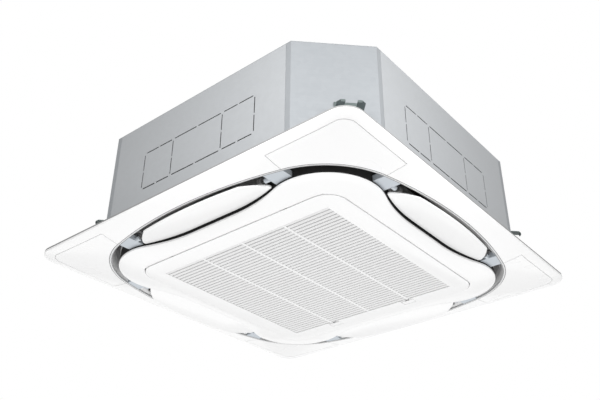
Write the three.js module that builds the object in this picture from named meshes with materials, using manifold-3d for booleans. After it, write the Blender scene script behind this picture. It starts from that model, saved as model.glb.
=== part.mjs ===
// Ceiling cassette air conditioner: casing above the ceiling, square panel with four flaps below it.
// Millimetres, +Z up. The origin is the centre of the unit in the ceiling's lower surface.
import * as THREE from 'three';
import { mergeVertices } from 'three/addons/utils/BufferGeometryUtils.js';
import Module from 'manifold-3d';

const wasm = await Module();
wasm.setup();

// ---------------------------------------------------------------- driving dimensions
const seat = 0.3; // clearance between a piece and what it seats on
const sheet = 1.2; // steel sheet of the casing

const bodySize = 840;
const bodyTop = 288;
const bodyBottom = 3;
const chamfer = 132;
const cornerFlange = 14;
const sheetFlange = 12;
const linerThickness = 10;

const knockoutBottom = 88;
const knockoutHeight = 102;
const knockoutCells = [98, 160, 98];
const knockoutShift = 9;
const slotWidth = 3;
const slotBridge = 5;

const bracketWidth = 60;
const bracketReach = 45;
const bracketSheet = 2.5;
const bracketZ = 100;
const bracketBack = 26;
const bracketLip = 6;
const bracketCut = 8; // corners cut off the shelf's outer end
const boltPitch = [705, 780]; // hanging rods, along X and along Y
const boltSlotWidth = 25;
const boltSlotLength = 32;

const panelSize = 950;
const panelRadius = 44;
const rimHeight = 10;
const rimLip = 14;
const rimChamfer = 2.5;
const plateThickness = 6.5;

const outletHalf = 434.7; // outer line of the air outlet, at the middle of a side
const outletCentre = 203; // centre of its corner arcs, on the diagonals
const outletRadius = 207;
const outletZ = -22;
const trimWidth = 6.5;
const trimDepth = 3;
const throatHalf = 399; // the outlet where it meets the drain pan
const throatRadius = 195;
const ductWall = 2.5;
const ductBend = 0.62; // share of the way inwards that the outer wall has made at ductBendZ
const ductBendZ = -9;

const ringHalf = 339.2; // outer line of the ring round the suction grille
const ringStraight = 64.6;
const ringCentre = 241;
const ringRadius = 129.5;
const ringEdgeZ = -31;
const ringEdge = 4.5;
const ringInnerZ = -38.8;
const ringWall = 3;
const sealThickness = 5;
const sealInset = 1;

const grilleHalf = 301;
const grilleRadius = 50;
const grilleSeam = 2;
const grilleZ = -40;
const grilleThickness = 7;
const grilleChamfer = 2;
const meshHalf = 252;
const meshRecess = 1.5;
const meshRibs = [-126, 0, 126];
const meshRibWidth = 6;
const slatPitch = 36;
const slatWidth = 11;

const hingeX = -296;
const hingeLift = 6.5; // hinge axis above the grille's lower face
const hingePlaces = [-176, 176];
const grilleAngles = [32, 36, 40, 45]; // the last one is as far as it opens
const hingeLug = 10;
const hingePin = 1.8;
const hingePost = 3;
const knuckleRadius = 4;
const knuckleLength = 8;

const latchPlaces = [-120, 120];
const latchKnob = [16, 34, 2];
const latchInset = 24; // from the grille's edge to the knob
const latchStem = [5, 10];
const latchTongue = [14, 2];
const latchReach = 5.5;
const latchTravel = 7;

const coverInner = 252;
const coverOuter = 452;
const coverRadius = 30;
const coverThickness = 2.5;

const armStart = 207; // from the middle of the side to the arm
const armWidth = 45;
const armZ = -21.5;
const armHeight = 13.5;
const armWall = 2;

const flapAxis = 385;
const flapAxisZ = -17;
const flapThickness = 4.5;
const flapDrop = 9.7; // from the axis to the lower face
const flapClosedTilt = 5.16;
const flapOpenAtRest = 12.7;
const flapInnerGap = 4.3;
const flapOuterGap = 1.7;
const flapTip = 190;
const flapLeave = 146;
const flapLug = [178, 10, 8];
const flapPin = 2.5;
const pivotBoss = 5.5;
const pivotBossLength = 13;

const flapMotorRadius = 10;
const flapMotorLength = 17;
const flapMotorOffset = 7.5;
const pinClearance = 0.3;

const filterHalf = 258;
const filterHeight = 6;
const filterFrame = 8;
const filterCells = 4;
const filterRib = 3;
const filterNet = 1; // the net, drawn as a closed sheet

const panHeight = 55.5;
const panRecessHalf = 290;
const panRecess = 19.5;
const panHole = 235;
const troughFloor = 12;
const troughClearance = 8;

const coilOuter = 302;
const coilThickness = 44;
const coilCorner = 60;
const coilTop = 272;
const coilEnd = 225; // where the coil stops short of the pipe corner

const bellThroat = 150;
const bellFlare = 45;
const bellRim = 98;
const bellWall = 2.5;
const bellPlateHalf = 285;

const fanRadius = 215;
const fanInlet = 156;
const fanBottom = 90;
const fanShroudRise = 38;
const fanTop = 246;
const fanSkin = 2.5;
const fanBlades = 8;
const fanBladeInner = 150;
const fanBladeSkin = 4;
const hubRadius = 16;
const hubBottom = 152;
const hubHeight = 33;
const coneStart = 30;
const coneLow = 170;
const coneEnd = 110;
const coneHigh = 240;

const motorRadius = 75;
const motorBottom = 222;
const motorHeight = 55;
const motorBore = 16;
const footReach = 102;
const footWidth = 24;
const footSheet = 6;
const footZ = 262;
const bushRadius = 12;
const shaftRadius = 6;
const nutSize = 11;
const nutHeight = 9;

const controlBox = [340, 76, 36];
const controlBoxY = 205;
const boxSheet = 1.2;
const boardSize = [300, 56, 2];
const boardGap = 6;
const terminalSize = [90, 16, 14];

const gasPipe = 7.94;
const liquidPipe = 4.76;
const pipeWall = 1;
const gasPlace = -25; // sideways from the diagonal
const gasZ = 150;
const liquidPlace = 25;
const liquidZ = 142;
const pipeReach = 34;
const headerRadius = 9.5;
const headerRadial = 378;
const headerHeight = 190;
const gasNut = 15;
const liquidNut = 11;
const flareNutLength = 20;

const drainPlace = 60;
const drainZ = 205;
const drainSocket = [16, 12.5, 60];
const pumpPlace = [229.5, 373];
const pumpRadius = 20;
const pumpHeight = 68;
const hoseRadius = 7;
const floatPlace = [229.5, 335];
const floatRadius = 8;
const floatHeight = 45;
const grommetPlace = -66;
const grommetZ = 235;
const grommetRadius = 13;

// ---------------------------------------------------------------- derived places
const QUARTER = Math.PI / 2;
const ROOT2 = Math.SQRT2;
const bodyHalf = bodySize / 2;
const bodyDiagonal = (bodySize - chamfer) / ROOT2; // from the centre to the chamfered face
const faceHalf = bodyHalf - chamfer;
const panelHalf = panelSize / 2;
const panBottom = bodyBottom + sheet + seat;
const panTop = panBottom + panHeight;
const ductTop = panBottom - seat;
const seamHalf = grilleHalf + grilleSeam;
const seamRadius = grilleRadius + grilleSeam;
const ringBackZ = ringEdgeZ + ringEdge;
const frameBackZ = ringBackZ + seat;
const grilleBackZ = grilleZ + grilleThickness;
const hingeZ = grilleZ + hingeLift;
const trimSeatZ = outletZ + trimDepth + seat;
const pocketZ = armZ + armWall;
const armEnd = armStart + armWidth;
const bellPlateTop = panBottom + panRecess - seat;
const bellPlateBottom = bellPlateTop - bellWall;
const boxTop = bellPlateBottom - seat;
const boxBottom = boxTop - controlBox[2];
const coilBottom = panBottom + panRecess + troughFloor + seat;
const plateZ = bodyTop - sheet;
const linerHalf = bodyHalf - sheet - seat;
const linerDiagonal = bodyDiagonal - sheet - seat;
const flapPlace = new THREE.Vector3(flapAxis, 0, flapAxisZ);

const SIDES = ['right', 'back', 'left', 'front']; // towards +X, +Y, -X, -Y
const CORNERS = ['back_right', 'back_left', 'front_left', 'front_right'];

// ---------------------------------------------------------------- solids
function toSolid(geometry) {
  const bare = geometry.clone();
  bare.deleteAttribute('normal');
  bare.deleteAttribute('uv');
  const merged = mergeVertices(bare, 1e-4);
  const order = merged.index.array;
  const triangles = [];
  for (let i = 0; i < order.length; i += 3) {
    const [a, b, c] = [order[i], order[i + 1], order[i + 2]];
    if (a !== b && b !== c && c !== a) triangles.push(a, b, c);
  }
  return new wasm.Manifold(new wasm.Mesh({
    numProp: 3,
    vertProperties: new Float32Array(merged.attributes.position.array),
    triVerts: new Uint32Array(triangles),
  }));
}

function fromSolid(body) {
  const mesh = body.getMesh();
  const geometry = new THREE.BufferGeometry();
  geometry.setAttribute('position', new THREE.BufferAttribute(mesh.vertProperties, 3));
  geometry.setIndex(new THREE.BufferAttribute(mesh.triVerts, 1));
  return geometry;
}

function join(...shapes) {
  return fromSolid(shapes.map(toSolid).reduce((sum, next) => sum.add(next)));
}

function cut(shape, ...tools) {
  return fromSolid(tools.map(toSolid).reduce((left, tool) => left.subtract(tool), toSolid(shape)));
}

function common(shape, other) {
  return fromSolid(toSolid(shape).intersect(toSolid(other)));
}

function box(x0, x1, y0, y1, z0, z1) {
  return new THREE.BoxGeometry(x1 - x0, y1 - y0, z1 - z0)
    .translate((x0 + x1) / 2, (y0 + y1) / 2, (z0 + z1) / 2);
}

function rod(radius, z0, z1, sides = 12) {
  return new THREE.CylinderGeometry(radius, radius, z1 - z0, sides)
    .rotateX(QUARTER)
    .translate(0, 0, (z0 + z1) / 2);
}

// A rod that lies along X or Y from one place to another.
function rodX(radius, x0, x1, y, z, sides) {
  return rod(radius, x0, x1, sides).rotateY(QUARTER).translate(0, y, z);
}

function rodY(radius, y0, y1, x, z, sides) {
  return rod(radius, -y1, -y0, sides).rotateX(QUARTER).translate(x, 0, z);
}

// A profile of [radius, z] turned about Z, listed up the outside and down the inside.
function turned(profile, segments = 24) {
  const points = profile.map(([radius, z]) => new THREE.Vector2(radius, z));
  return new THREE.LatheGeometry(points, segments).rotateX(QUARTER);
}

// The points of an outline that turn a corner.
function corners(points) {
  return points.filter((point, i) => {
    const before = point.clone().sub(points.at(i - 1));
    const after = points[(i + 1) % points.length].clone().sub(point);
    return Math.abs(before.cross(after)) > 1e-6;
  });
}

function prism(points, z0, z1, holes = []) {
  const shape = new THREE.Shape(corners(points));
  shape.holes = holes.map((hole) => new THREE.Path(corners(hole)));
  return new THREE.ExtrudeGeometry(shape, { depth: z1 - z0, bevelEnabled: false })
    .translate(0, 0, z0);
}

// ---------------------------------------------------------------- outlines
// An outline is built from its first eighth, from the middle of the +X side to the diagonal.
const sideSteps = 3;
const cornerSteps = 5;

function around(eighth) {
  const quarter = [
    ...eighth.slice(1).reverse().map(([x, y]) => [x, -y]),
    ...eighth.slice(0, -1),
  ];
  return [0, 1, 2, 3].flatMap((turn) => quarter.map(([x, y]) =>
    new THREE.Vector2(x, y).rotateAround(new THREE.Vector2(), turn * QUARTER)));
}

function arc(cx, cy, radius, from, to, steps) {
  return Array.from({ length: steps }, (_, i) => {
    const angle = from + (to - from) * (i + 1) / steps;
    return [cx + radius * Math.cos(angle), cy + radius * Math.sin(angle)];
  });
}

function roundedSquare(half, radius) {
  const centre = half - radius;
  const side = Array.from({ length: sideSteps + 1 }, (_, i) => [half, centre * i / sideSteps]);
  return around([...side, ...arc(centre, centre, radius, 0, Math.PI / 4, cornerSteps)]);
}

const outletArchRadius = (outletRadius ** 2 - (outletCentre - outletHalf) ** 2 - outletCentre ** 2)
  / (2 * (outletCentre - outletHalf + outletRadius));
const outletArchX = outletHalf - outletArchRadius;

function outletLine(offset) {
  const meet = Math.atan2(outletCentre, outletCentre - outletArchX);
  const side = arc(outletArchX, 0, outletArchRadius + offset, 0, meet, sideSteps);
  const corner = arc(outletCentre, outletCentre, outletRadius + offset, meet, Math.PI / 4, cornerSteps);
  return around([[outletHalf + offset, 0], ...side, ...corner]);
}

const ringIn = ringHalf - ringCentre;
const ringHollow = ((ringStraight - ringCentre) ** 2 + ringIn ** 2 - ringRadius ** 2)
  / (2 * (ringRadius - ringIn)); // radius of the hollow stretch beside each corner
const ringHollowX = ringHalf + ringHollow;
const ringMeet = Math.atan2(ringCentre - ringStraight, ringCentre - ringHollowX);

function ringLine(offset) {
  const hollow = arc(ringHollowX, ringStraight, ringHollow - offset, Math.PI, ringMeet, sideSteps - 1);
  const from = ringMeet - Math.PI;
  const corner = arc(ringCentre, ringCentre, ringRadius + offset, from, Math.PI / 4, cornerSteps);
  return around([[ringHalf + offset, 0], [ringHalf + offset, ringStraight], ...hollow, ...corner]);
}

function between(outlineA, outlineB, share) {
  return outlineA.map((point, i) => point.clone().lerp(outlineB[i], share));
}

function circle(radius, sides = 24) {
  return Array.from({ length: sides }, (_, i) =>
    new THREE.Vector2(radius, 0).rotateAround(new THREE.Vector2(), i * 2 * Math.PI / sides));
}

function octagon(half, diagonal) {
  const short = diagonal * ROOT2 - half;
  const first = [[half, -short], [half, short], [short, half], [-short, half]];
  return [...first, ...first.map(([x, y]) => [-x, -y])].map(([x, y]) => new THREE.Vector2(x, y));
}

// A ring-shaped body: outlines with heights, listed clockwise round its section.
function ringBody(loops) {
  const count = loops[0].outline.length;
  const positions = loops.flatMap(({ outline, z }) => outline.flatMap((point) => [point.x, point.y, z]));
  const triangles = loops.flatMap((_, i) => {
    const here = i * count;
    const next = ((i + 1) % loops.length) * count;
    return Array.from({ length: count }, (__, j) => {
      const k = (j + 1) % count;
      return [here + j, next + j, next + k, here + j, next + k, here + k];
    }).flat();
  });
  const geometry = new THREE.BufferGeometry();
  geometry.setAttribute('position', new THREE.Float32BufferAttribute(positions, 3));
  geometry.setIndex(triangles);
  return geometry;
}

// ---------------------------------------------------------------- materials and assembly
const unit = new THREE.Group();

function finish(color, roughness, metalness = 0) {
  return { color, roughness, metalness };
}

const galvanised = finish(0xb9bfc2, 0.45, 0.7);
const darkSteel = finish(0x6a7073, 0.4, 0.8);
const whitePlastic = finish(0xf6f6f4, 0.35);
const greyPlastic = finish(0xd9dde4, 0.45);
const silverPlastic = finish(0xb4b7ba, 0.3, 0.3);
const blackFoam = finish(0x1c1d20, 0.9);
const whiteFoam = finish(0xe8e9e6, 0.85);
const blackPlastic = finish(0x2a2c2e, 0.5);
const aluminium = finish(0xc3c7c9, 0.4, 0.8);
const copper = finish(0xb4673f, 0.3, 0.9);
const brass = finish(0xb59a4c, 0.35, 0.9);
const rubber = finish(0x26272a, 0.8);
const boardGreen = finish(0x2c6b45, 0.5);

function add(name, geometry, look, parent = unit) {
  const mesh = new THREE.Mesh(geometry, new THREE.MeshStandardMaterial(look));
  mesh.name = name;
  parent.add(mesh);
  return mesh;
}

function turnedGroup(angle, parent = unit) {
  const group = new THREE.Group();
  group.rotation.z = angle;
  parent.add(group);
  return group;
}

// ---------------------------------------------------------------- casing
function knockoutSlots(shift) {
  const width = knockoutCells.reduce((sum, cell) => sum + cell);
  const top = knockoutBottom + knockoutHeight;
  const middle = knockoutBottom + knockoutHeight / 2;
  const slots = [];
  const slot = (y0, y1, z0, z1) => slots.push(box(bodyHalf - 2 * sheet, bodyHalf + sheet, y0, y1, z0, z1));
  const upright = (y) => {
    slot(y - slotWidth / 2, y + slotWidth / 2, knockoutBottom + slotBridge, middle - slotBridge / 2);
    slot(y - slotWidth / 2, y + slotWidth / 2, middle + slotBridge / 2, top - slotBridge);
  };
  let y = shift - width / 2;
  upright(y);
  for (const cell of knockoutCells) {
    for (const z of [knockoutBottom, top]) {
      slot(y + slotBridge, y + (cell - slotBridge) / 2, z - slotWidth / 2, z + slotWidth / 2);
      slot(y + (cell + slotBridge) / 2, y + cell - slotBridge, z - slotWidth / 2, z + slotWidth / 2);
    }
    y += cell;
    upright(y);
  }
  return slots;
}

// A side of the casing, of one folded sheet. Its knock-outs sit off the middle by their own shift.
function sidePanel(knockouts) {
  const half = faceHalf - cornerFlange - seat / 2;
  const inner = bodyHalf - sheet - sheetFlange;
  const top = plateZ - seat;
  const web = box(bodyHalf - sheet, bodyHalf, -half, half, bodyBottom, top);
  const lower = box(inner, bodyHalf, -half, half, bodyBottom, bodyBottom + sheet);
  const upper = box(inner, bodyHalf, -half, half, top - sheet, top);
  return cut(join(web, lower, upper), ...knockouts);
}

function cornerPanel() {
  const start = faceHalf - cornerFlange + seat / 2;
  const inner = bodyHalf - sheet;
  const innerBend = (bodyDiagonal - sheet) * ROOT2 - inner;
  const half = [[bodyHalf, start], [bodyHalf, faceHalf]];
  const innerHalf = [[inner, innerBend], [inner, start]];
  const points = [
    ...half,
    ...half.map(([x, y]) => [y, x]).reverse(),
    ...innerHalf.map(([x, y]) => [y, x]).reverse(),
    ...innerHalf,
  ];
  return prism(points.map(([x, y]) => new THREE.Vector2(x, y)), bodyBottom, plateZ - seat);
}

// Tools that cut the holes of the pipe corner, in that corner's own frame.
function pipeHoles(clearance) {
  const from = linerDiagonal - 2 * linerThickness;
  const to = bodyDiagonal + 2 * sheet;
  return [
    rodX(gasPipe + clearance, from, to, gasPlace, gasZ),
    rodX(liquidPipe + clearance, from, to, liquidPlace, liquidZ),
    rodX(drainSocket[0] + clearance, from, to, drainPlace, drainZ, 20),
    rodX(grommetRadius - 2 + clearance, from, to, grommetPlace, grommetZ),
  ];
}

function inPipeCorner(geometry) {
  return geometry.rotateZ(Math.PI / 4);
}

function liner() {
  const outer = octagon(linerHalf, linerDiagonal);
  const inner = octagon(linerHalf - linerThickness, linerDiagonal - linerThickness);
  const wall = prism(outer, panTop + seat, plateZ - sheet - 2 * seat, [inner]);
  return cut(wall, ...pipeHoles(2).map(inPipeCorner));
}

// A hanger in the frame of its corner: X outwards, Y along the chamfer.
function hangerBracket(shift) {
  const from = bodyDiagonal + seat;
  const to = from + bracketReach;
  const half = bracketWidth / 2;
  const low = bracketZ - bracketSheet;
  const back = box(from, from + bracketSheet, shift - half, shift + half, low, bracketZ + bracketBack);
  const outline = [[from, half], [from, -half], [to - bracketCut, -half],
    [to, bracketCut - half], [to, half - bracketCut], [to - bracketCut, half]];
  const shelf = prism(outline.map(([x, y]) => new THREE.Vector2(x, y + shift)), low, bracketZ);
  const lip = box(to - bracketSheet, to, shift + bracketCut - half, shift + half - bracketCut,
    bracketZ - bracketLip, bracketZ);
  const slot = box(to - boltSlotLength, to + 1, shift - boltSlotWidth / 2, shift + boltSlotWidth / 2,
    bracketZ - bracketLip - 1, bracketZ + 1);
  return cut(join(back, shelf, lip), slot);
}

function makeCasing() {
  add('top_plate', prism(octagon(bodyHalf, bodyDiagonal), plateZ, bodyTop), galvanised);
  const knockouts = { left: knockoutSlots(knockoutShift), front: knockoutSlots(-knockoutShift) };
  SIDES.forEach((side, i) => {
    add(`side_panel_${side}`, sidePanel(knockouts[side] ?? []), galvanised, turnedGroup(i * QUARTER));
  });
  CORNERS.forEach((corner, i) => {
    const panel = i ? cornerPanel() : cut(cornerPanel(), ...pipeHoles(seat).map(inPipeCorner));
    add(`corner_panel_${corner}`, panel, galvanised, turnedGroup(i * QUARTER));
    const shift = (i % 2 ? -1 : 1) * (boltPitch[1] - boltPitch[0]) / 2 * Math.SQRT1_2;
    const group = turnedGroup(Math.PI / 4 + i * QUARTER);
    add(`hanger_bracket_${corner}`, hangerBracket(shift), galvanised, group);
  });
  add('insulation_liner', liner(), whiteFoam);
}

// ---------------------------------------------------------------- fan
function fanMotor() {
  const top = motorBottom + motorHeight;
  const boss = 2 * motorBore;
  const body = turned([
    [0, motorBottom], [boss, motorBottom], [boss, motorBottom + 6], [motorRadius, motorBottom + 14],
    [motorRadius, top - 6], [motorRadius - 6, top], [0, top],
  ]);
  const feet = [0, 1, 2].map((i) =>
    box(motorRadius / 2, footReach, -footWidth / 2, footWidth / 2, footZ, footZ + footSheet)
      .rotateZ(i * Math.PI * 2 / 3));
  const bore = rod(shaftRadius + 2 * pinClearance, motorBottom - 1, motorBottom + motorBore);
  return cut(join(body, ...feet), bore);
}

function motorBush() {
  const low = footZ + footSheet + seat;
  const high = plateZ - seat;
  const waist = bushRadius - 3;
  return turned([
    [0, low], [bushRadius, low], [bushRadius, low + 4], [waist, low + 6],
    [waist, high - 6], [bushRadius, high - 4], [bushRadius, high], [0, high],
  ], 10);
}

function backPlateLine(lift) {
  return [
    [hubRadius / 2, coneLow + lift], [coneStart, coneLow + lift],
    [coneEnd, coneHigh + lift], [fanRadius, fanTop - fanSkin + lift],
  ];
}

function shroudLine(out) {
  const rise = fanBottom + fanShroudRise;
  return [
    [fanInlet + out, fanBottom], [fanInlet + out, fanBottom + 12],
    [fanInlet + 18, fanBottom + 26 - out], [fanRadius, rise - out],
  ];
}

function turboFan() {
  const plate = turned([...backPlateLine(0), ...backPlateLine(fanSkin).reverse(), backPlateLine(0)[0]]);
  const shroud = turned([...shroudLine(fanSkin), ...shroudLine(0).reverse(), shroudLine(fanSkin)[0]]);
  const hub = rod(hubRadius, hubBottom, hubBottom + hubHeight);
  const middle = fanSkin / 2;
  const inlet = shroudLine(middle).slice(1);
  const space = turned([
    ...inlet, ...backPlateLine(middle).reverse(), [hubRadius / 2, inlet[0][1]], inlet[0],
  ]);
  const chord = fanRadius - fanBladeInner;
  const blade = new THREE.Shape([
    new THREE.Vector2(fanBladeInner, 0),
    new THREE.Vector2(fanBladeInner + chord * 0.45, -chord * 0.2),
    new THREE.Vector2(fanRadius - 4, -chord * 0.62),
    new THREE.Vector2(fanRadius - 4, -chord * 0.62 - fanBladeSkin),
    new THREE.Vector2(fanBladeInner + chord * 0.42, -chord * 0.2 - fanBladeSkin * 1.5),
    new THREE.Vector2(fanBladeInner, -fanBladeSkin),
  ]);
  const blades = Array.from({ length: fanBlades }, (_, i) => common(
    new THREE.ExtrudeGeometry(blade, { depth: fanTop - fanBottom, bevelEnabled: false })
      .translate(0, 0, fanBottom)
      .rotateZ((i + 0.5) * 2 * Math.PI / fanBlades),
    space,
  ));
  const bore = rod(shaftRadius + seat, hubBottom - 1, hubBottom + hubHeight + 1);
  return cut(join(plate, shroud, hub, ...blades), bore);
}

function makeFan() {
  add('fan_motor', fanMotor(), darkSteel);
  [0, 1, 2].forEach((i) => {
    const bush = motorBush().translate(footReach - bushRadius, 0, 0);
    add(`motor_bush_${i + 1}`, bush, rubber, turnedGroup(i * Math.PI * 2 / 3));
  });
  const shaftEnd = hubBottom - nutHeight - 2;
  add('fan_shaft', rod(shaftRadius, shaftEnd, motorBottom + motorBore - pinClearance), darkSteel);
  add('turbo_fan', turboFan(), whitePlastic);
  const nutTop = hubBottom - seat;
  const nut = cut(rod(nutSize, nutTop - nutHeight, nutTop, 6),
    rod(shaftRadius + seat, nutTop - nutHeight - 1, nutTop + 1));
  add('fan_nut', nut, brass);
}

// ---------------------------------------------------------------- air inlet
function bellMouth() {
  const centre = bellThroat + bellFlare;
  const curve = (radius) => arc(centre, bellPlateBottom + bellFlare, radius, -QUARTER, -Math.PI, 4);
  const thin = bellFlare - bellWall;
  const flare = turned([
    [centre + bellWall, bellPlateTop], [centre, bellPlateTop], ...curve(thin),
    [bellThroat + bellWall, bellRim],
    [bellThroat, bellRim], ...curve(bellFlare).reverse(), [centre, bellPlateBottom],
    [centre + bellWall, bellPlateBottom], [centre + bellWall, bellPlateTop],
  ]);
  const plate = prism(roundedSquare(bellPlateHalf, panRecessHalf - bellPlateHalf + coilCorner),
    bellPlateBottom, bellPlateTop, [circle(centre + 1)]);
  return join(plate, flare);
}

function makeControlBox() {
  const [width, depth, height] = controlBox;
  const tray = cut(
    box(-width / 2, width / 2, controlBoxY, controlBoxY + depth, boxBottom + boxSheet + seat, boxTop),
    box(-width / 2 + boxSheet, width / 2 - boxSheet, controlBoxY + boxSheet, controlBoxY + depth - boxSheet,
      boxBottom, boxTop - boxSheet),
  );
  add('control_box', tray, galvanised);
  const lid = box(-width / 2, width / 2, controlBoxY, controlBoxY + depth, boxBottom, boxBottom + boxSheet);
  add('control_box_lid', lid, galvanised);
  const boardY = controlBoxY + (depth - boardSize[1]) / 2;
  const boardZ = boxTop - boxSheet - boardGap;
  const board = box(-boardSize[0] / 2, boardSize[0] / 2, boardY, boardY + boardSize[1],
    boardZ - boardSize[2], boardZ);
  const stud = (x, y) => rod(2.5, boardZ - boardSize[2] / 2, boxTop - boxSheet - seat, 8).translate(x, y, 0);
  const studs = [-1, 1].flatMap((side) => [boardY + 5, boardY + boardSize[1] - 5]
    .map((y) => stud(side * (boardSize[0] / 2 - 6), y)));
  add('circuit_board', join(board, ...studs), boardGreen);
  const [length, across, tall] = terminalSize;
  const terminalTop = boardZ - boardSize[2] - seat;
  const terminal = cut(
    box(-length / 2, length / 2, boardY + 8, boardY + 8 + across, terminalTop - tall, terminalTop),
    ...[-2, -1, 0, 1, 2].map((i) => box(i * 16 - 5, i * 16 + 5, boardY + 7, boardY + 2 + across,
      terminalTop - tall - 1, terminalTop - 4)),
  );
  add('terminal_block', terminal, blackPlastic);
}

// ---------------------------------------------------------------- drain pan and coil
function sideBlocks(from, to, x0, x1, z0, z1) {
  return [0, 1, 2, 3].flatMap((turn) => [1, -1].map((sign) => {
    const [low, high] = sign > 0 ? [from, to] : [-to, -from];
    return box(x0, x1, low, high, z0, z1).rotateZ(turn * QUARTER);
  }));
}

function drainPan() {
  const body = prism(octagon(linerHalf, linerDiagonal), panBottom, panTop);
  const outlets = cut(
    prism(roundedSquare(throatHalf, throatRadius), panBottom - 1, panTop + 1, [ringLine(1)]),
    ...sideBlocks(armStart - 4, armEnd + 4, ringHalf - 20, bodyHalf, panBottom - 2, panTop + 2),
  );
  const recess = prism(roundedSquare(panRecessHalf, coilCorner), panBottom - 1, panBottom + panRecess);
  const hole = rod(panHole, panBottom, panTop + 1, 24);
  const trough = prism(
    roundedSquare(coilOuter + troughClearance, coilCorner + troughClearance),
    panBottom + panRecess + troughFloor, panTop + 1,
    [circle(coilOuter - coilThickness - troughClearance)],
  );
  return cut(body, outlets, recess, hole, trough);
}

function heatExchanger() {
  const inner = coilOuter - coilThickness;
  const ring = prism(roundedSquare(coilOuter, coilCorner), coilBottom, coilTop,
    [roundedSquare(inner, coilCorner - coilThickness)]);
  return cut(ring, box(coilEnd, coilOuter + 1, coilEnd, coilOuter + 1, coilBottom - 1, coilTop + 1));
}

// One bent sheet closes the gap between the two ends of the coil.
function coilEndPlate() {
  const near = coilEnd + seat;
  const outer = coilOuter - 2;
  const inner = coilOuter - coilThickness + 2;
  const half = [[outer, near], [inner, near]];
  const backHalf = [[inner + sheet / 2, near + sheet], [outer, near + sheet]];
  const points = [
    ...half, ...half.map(([x, y]) => [y, x]).reverse(),
    ...backHalf.map(([x, y]) => [y, x]).reverse(), ...backHalf,
  ];
  return prism(points.map(([x, y]) => new THREE.Vector2(x, y)).reverse(), coilBottom, coilTop);
}

function pipeWithBore(radius, place, z, from) {
  const bore = radius - pipeWall;
  const to = bodyDiagonal + pipeReach;
  return cut(rodX(radius, from, to, place, z), rodX(bore, from - 1, to + 1, place, z));
}

function flareNut(size, radius, place, z) {
  const from = bodyDiagonal + pipeReach - flareNutLength;
  const to = bodyDiagonal + pipeReach - 3;
  return cut(rodX(size, from, to, place, z, 6), rodX(radius + seat, from - 1, to + 1, place, z));
}

// A vertical header pipe beside the X end of the coil, with four short branches towards the end plate.
function header() {
  const low = coilBottom + 10;
  const x = (headerRadial - gasPlace) / ROOT2;
  const y = (headerRadial + gasPlace) / ROOT2;
  const end = coilEnd + sheet + 2 * seat;
  const stubs = [0, 1, 2, 3].map((i) => rodY(3.5, end, y, x, low + 25 + i * 45, 8));
  return join(rod(headerRadius, low, low + headerHeight).translate(x, y, 0), ...stubs);
}

// The same piece on the other side of the pipe corner's diagonal.
function acrossDiagonal(geometry) {
  const other = geometry.clone().scale(-1, 1, 1).rotateZ(-QUARTER);
  return other.setIndex(Array.from(other.index.array).reverse());
}

function makeCooling() {
  add('drain_pan', drainPan(), whiteFoam);
  add('heat_exchanger', heatExchanger(), aluminium);
  add('coil_end_plate', coilEndPlate(), galvanised);
  add('gas_header', header(), copper);
  add('liquid_header', acrossDiagonal(header()), copper);
  const corner = turnedGroup(Math.PI / 4);
  const from = headerRadial + headerRadius + seat;
  add('gas_pipe', pipeWithBore(gasPipe, gasPlace, gasZ, from), copper, corner);
  add('liquid_pipe', pipeWithBore(liquidPipe, liquidPlace, liquidZ, from), copper, corner);
  add('gas_flare_nut', flareNut(gasNut, gasPipe, gasPlace, gasZ), brass, corner);
  add('liquid_flare_nut', flareNut(liquidNut, liquidPipe, liquidPlace, liquidZ), brass, corner);
  makeDrain(corner);
}

function makeDrain(corner) {
  const [socketRadius, socketBore, socketLength] = drainSocket;
  const socketFrom = linerDiagonal - linerThickness - 8;
  const socketTo = socketFrom + socketLength;
  const socket = cut(rodX(socketRadius, socketFrom, socketTo, drainPlace, drainZ, 20),
    rodX(socketBore, socketFrom + 6, socketTo + 1, drainPlace, drainZ, 20),
    rodX(hoseRadius - 2, socketFrom - 1, socketFrom + 7, drainPlace, drainZ, 12));
  add('drain_socket', socket, greyPlastic, corner);

  const low = panTop + seat;
  const pump = turned([
    [0, low], [pumpRadius, low], [pumpRadius, low + 30], [pumpRadius - 5, low + 34],
    [pumpRadius - 5, low + pumpHeight], [0, low + pumpHeight],
  ], 20).translate(pumpPlace[0], pumpPlace[1], 0);
  add('drain_pump', pump, greyPlastic);
  const float = turned([
    [0, low], [floatRadius, low], [floatRadius, low + 16], [3, low + 18],
    [3, low + floatHeight], [0, low + floatHeight],
  ], 12).translate(floatPlace[0], floatPlace[1], 0);
  add('float_switch', float, whitePlastic);

  const start = new THREE.Vector3(pumpPlace[0], pumpPlace[1], low + pumpHeight + seat);
  const up = new THREE.Vector3(0, 0, 1);
  const end = new THREE.Vector3(socketFrom - seat, drainPlace, drainZ).applyAxisAngle(up, Math.PI / 4);
  const out = new THREE.Vector3(1, 0, 0).applyAxisAngle(up, Math.PI / 4);
  const path = new THREE.CubicBezierCurve3(start, start.clone().setZ(drainZ - 5),
    end.clone().addScaledVector(out, -45), end);
  const section = new THREE.Shape(circle(hoseRadius, 8));
  add('drain_hose', new THREE.ExtrudeGeometry(section, { steps: 10, extrudePath: path }), greyPlastic);

  const from = bodyDiagonal - sheet - 4;
  const shellEnd = bodyDiagonal + 6;
  const grommet = cut(
    join(rodX(grommetRadius - 2, from, shellEnd, grommetPlace, grommetZ),
      rodX(grommetRadius + 2, bodyDiagonal + seat, shellEnd, grommetPlace, grommetZ)),
    rodX(6, from - 1, shellEnd + 1, grommetPlace, grommetZ),
  );
  add('cable_grommet', grommet, rubber, corner);
}

// ---------------------------------------------------------------- panel
function ductWallLine(offset) {
  const throat = roundedSquare(throatHalf + offset, throatRadius + offset);
  return between(outletLine(offset - trimWidth), throat, ductBend);
}

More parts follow.
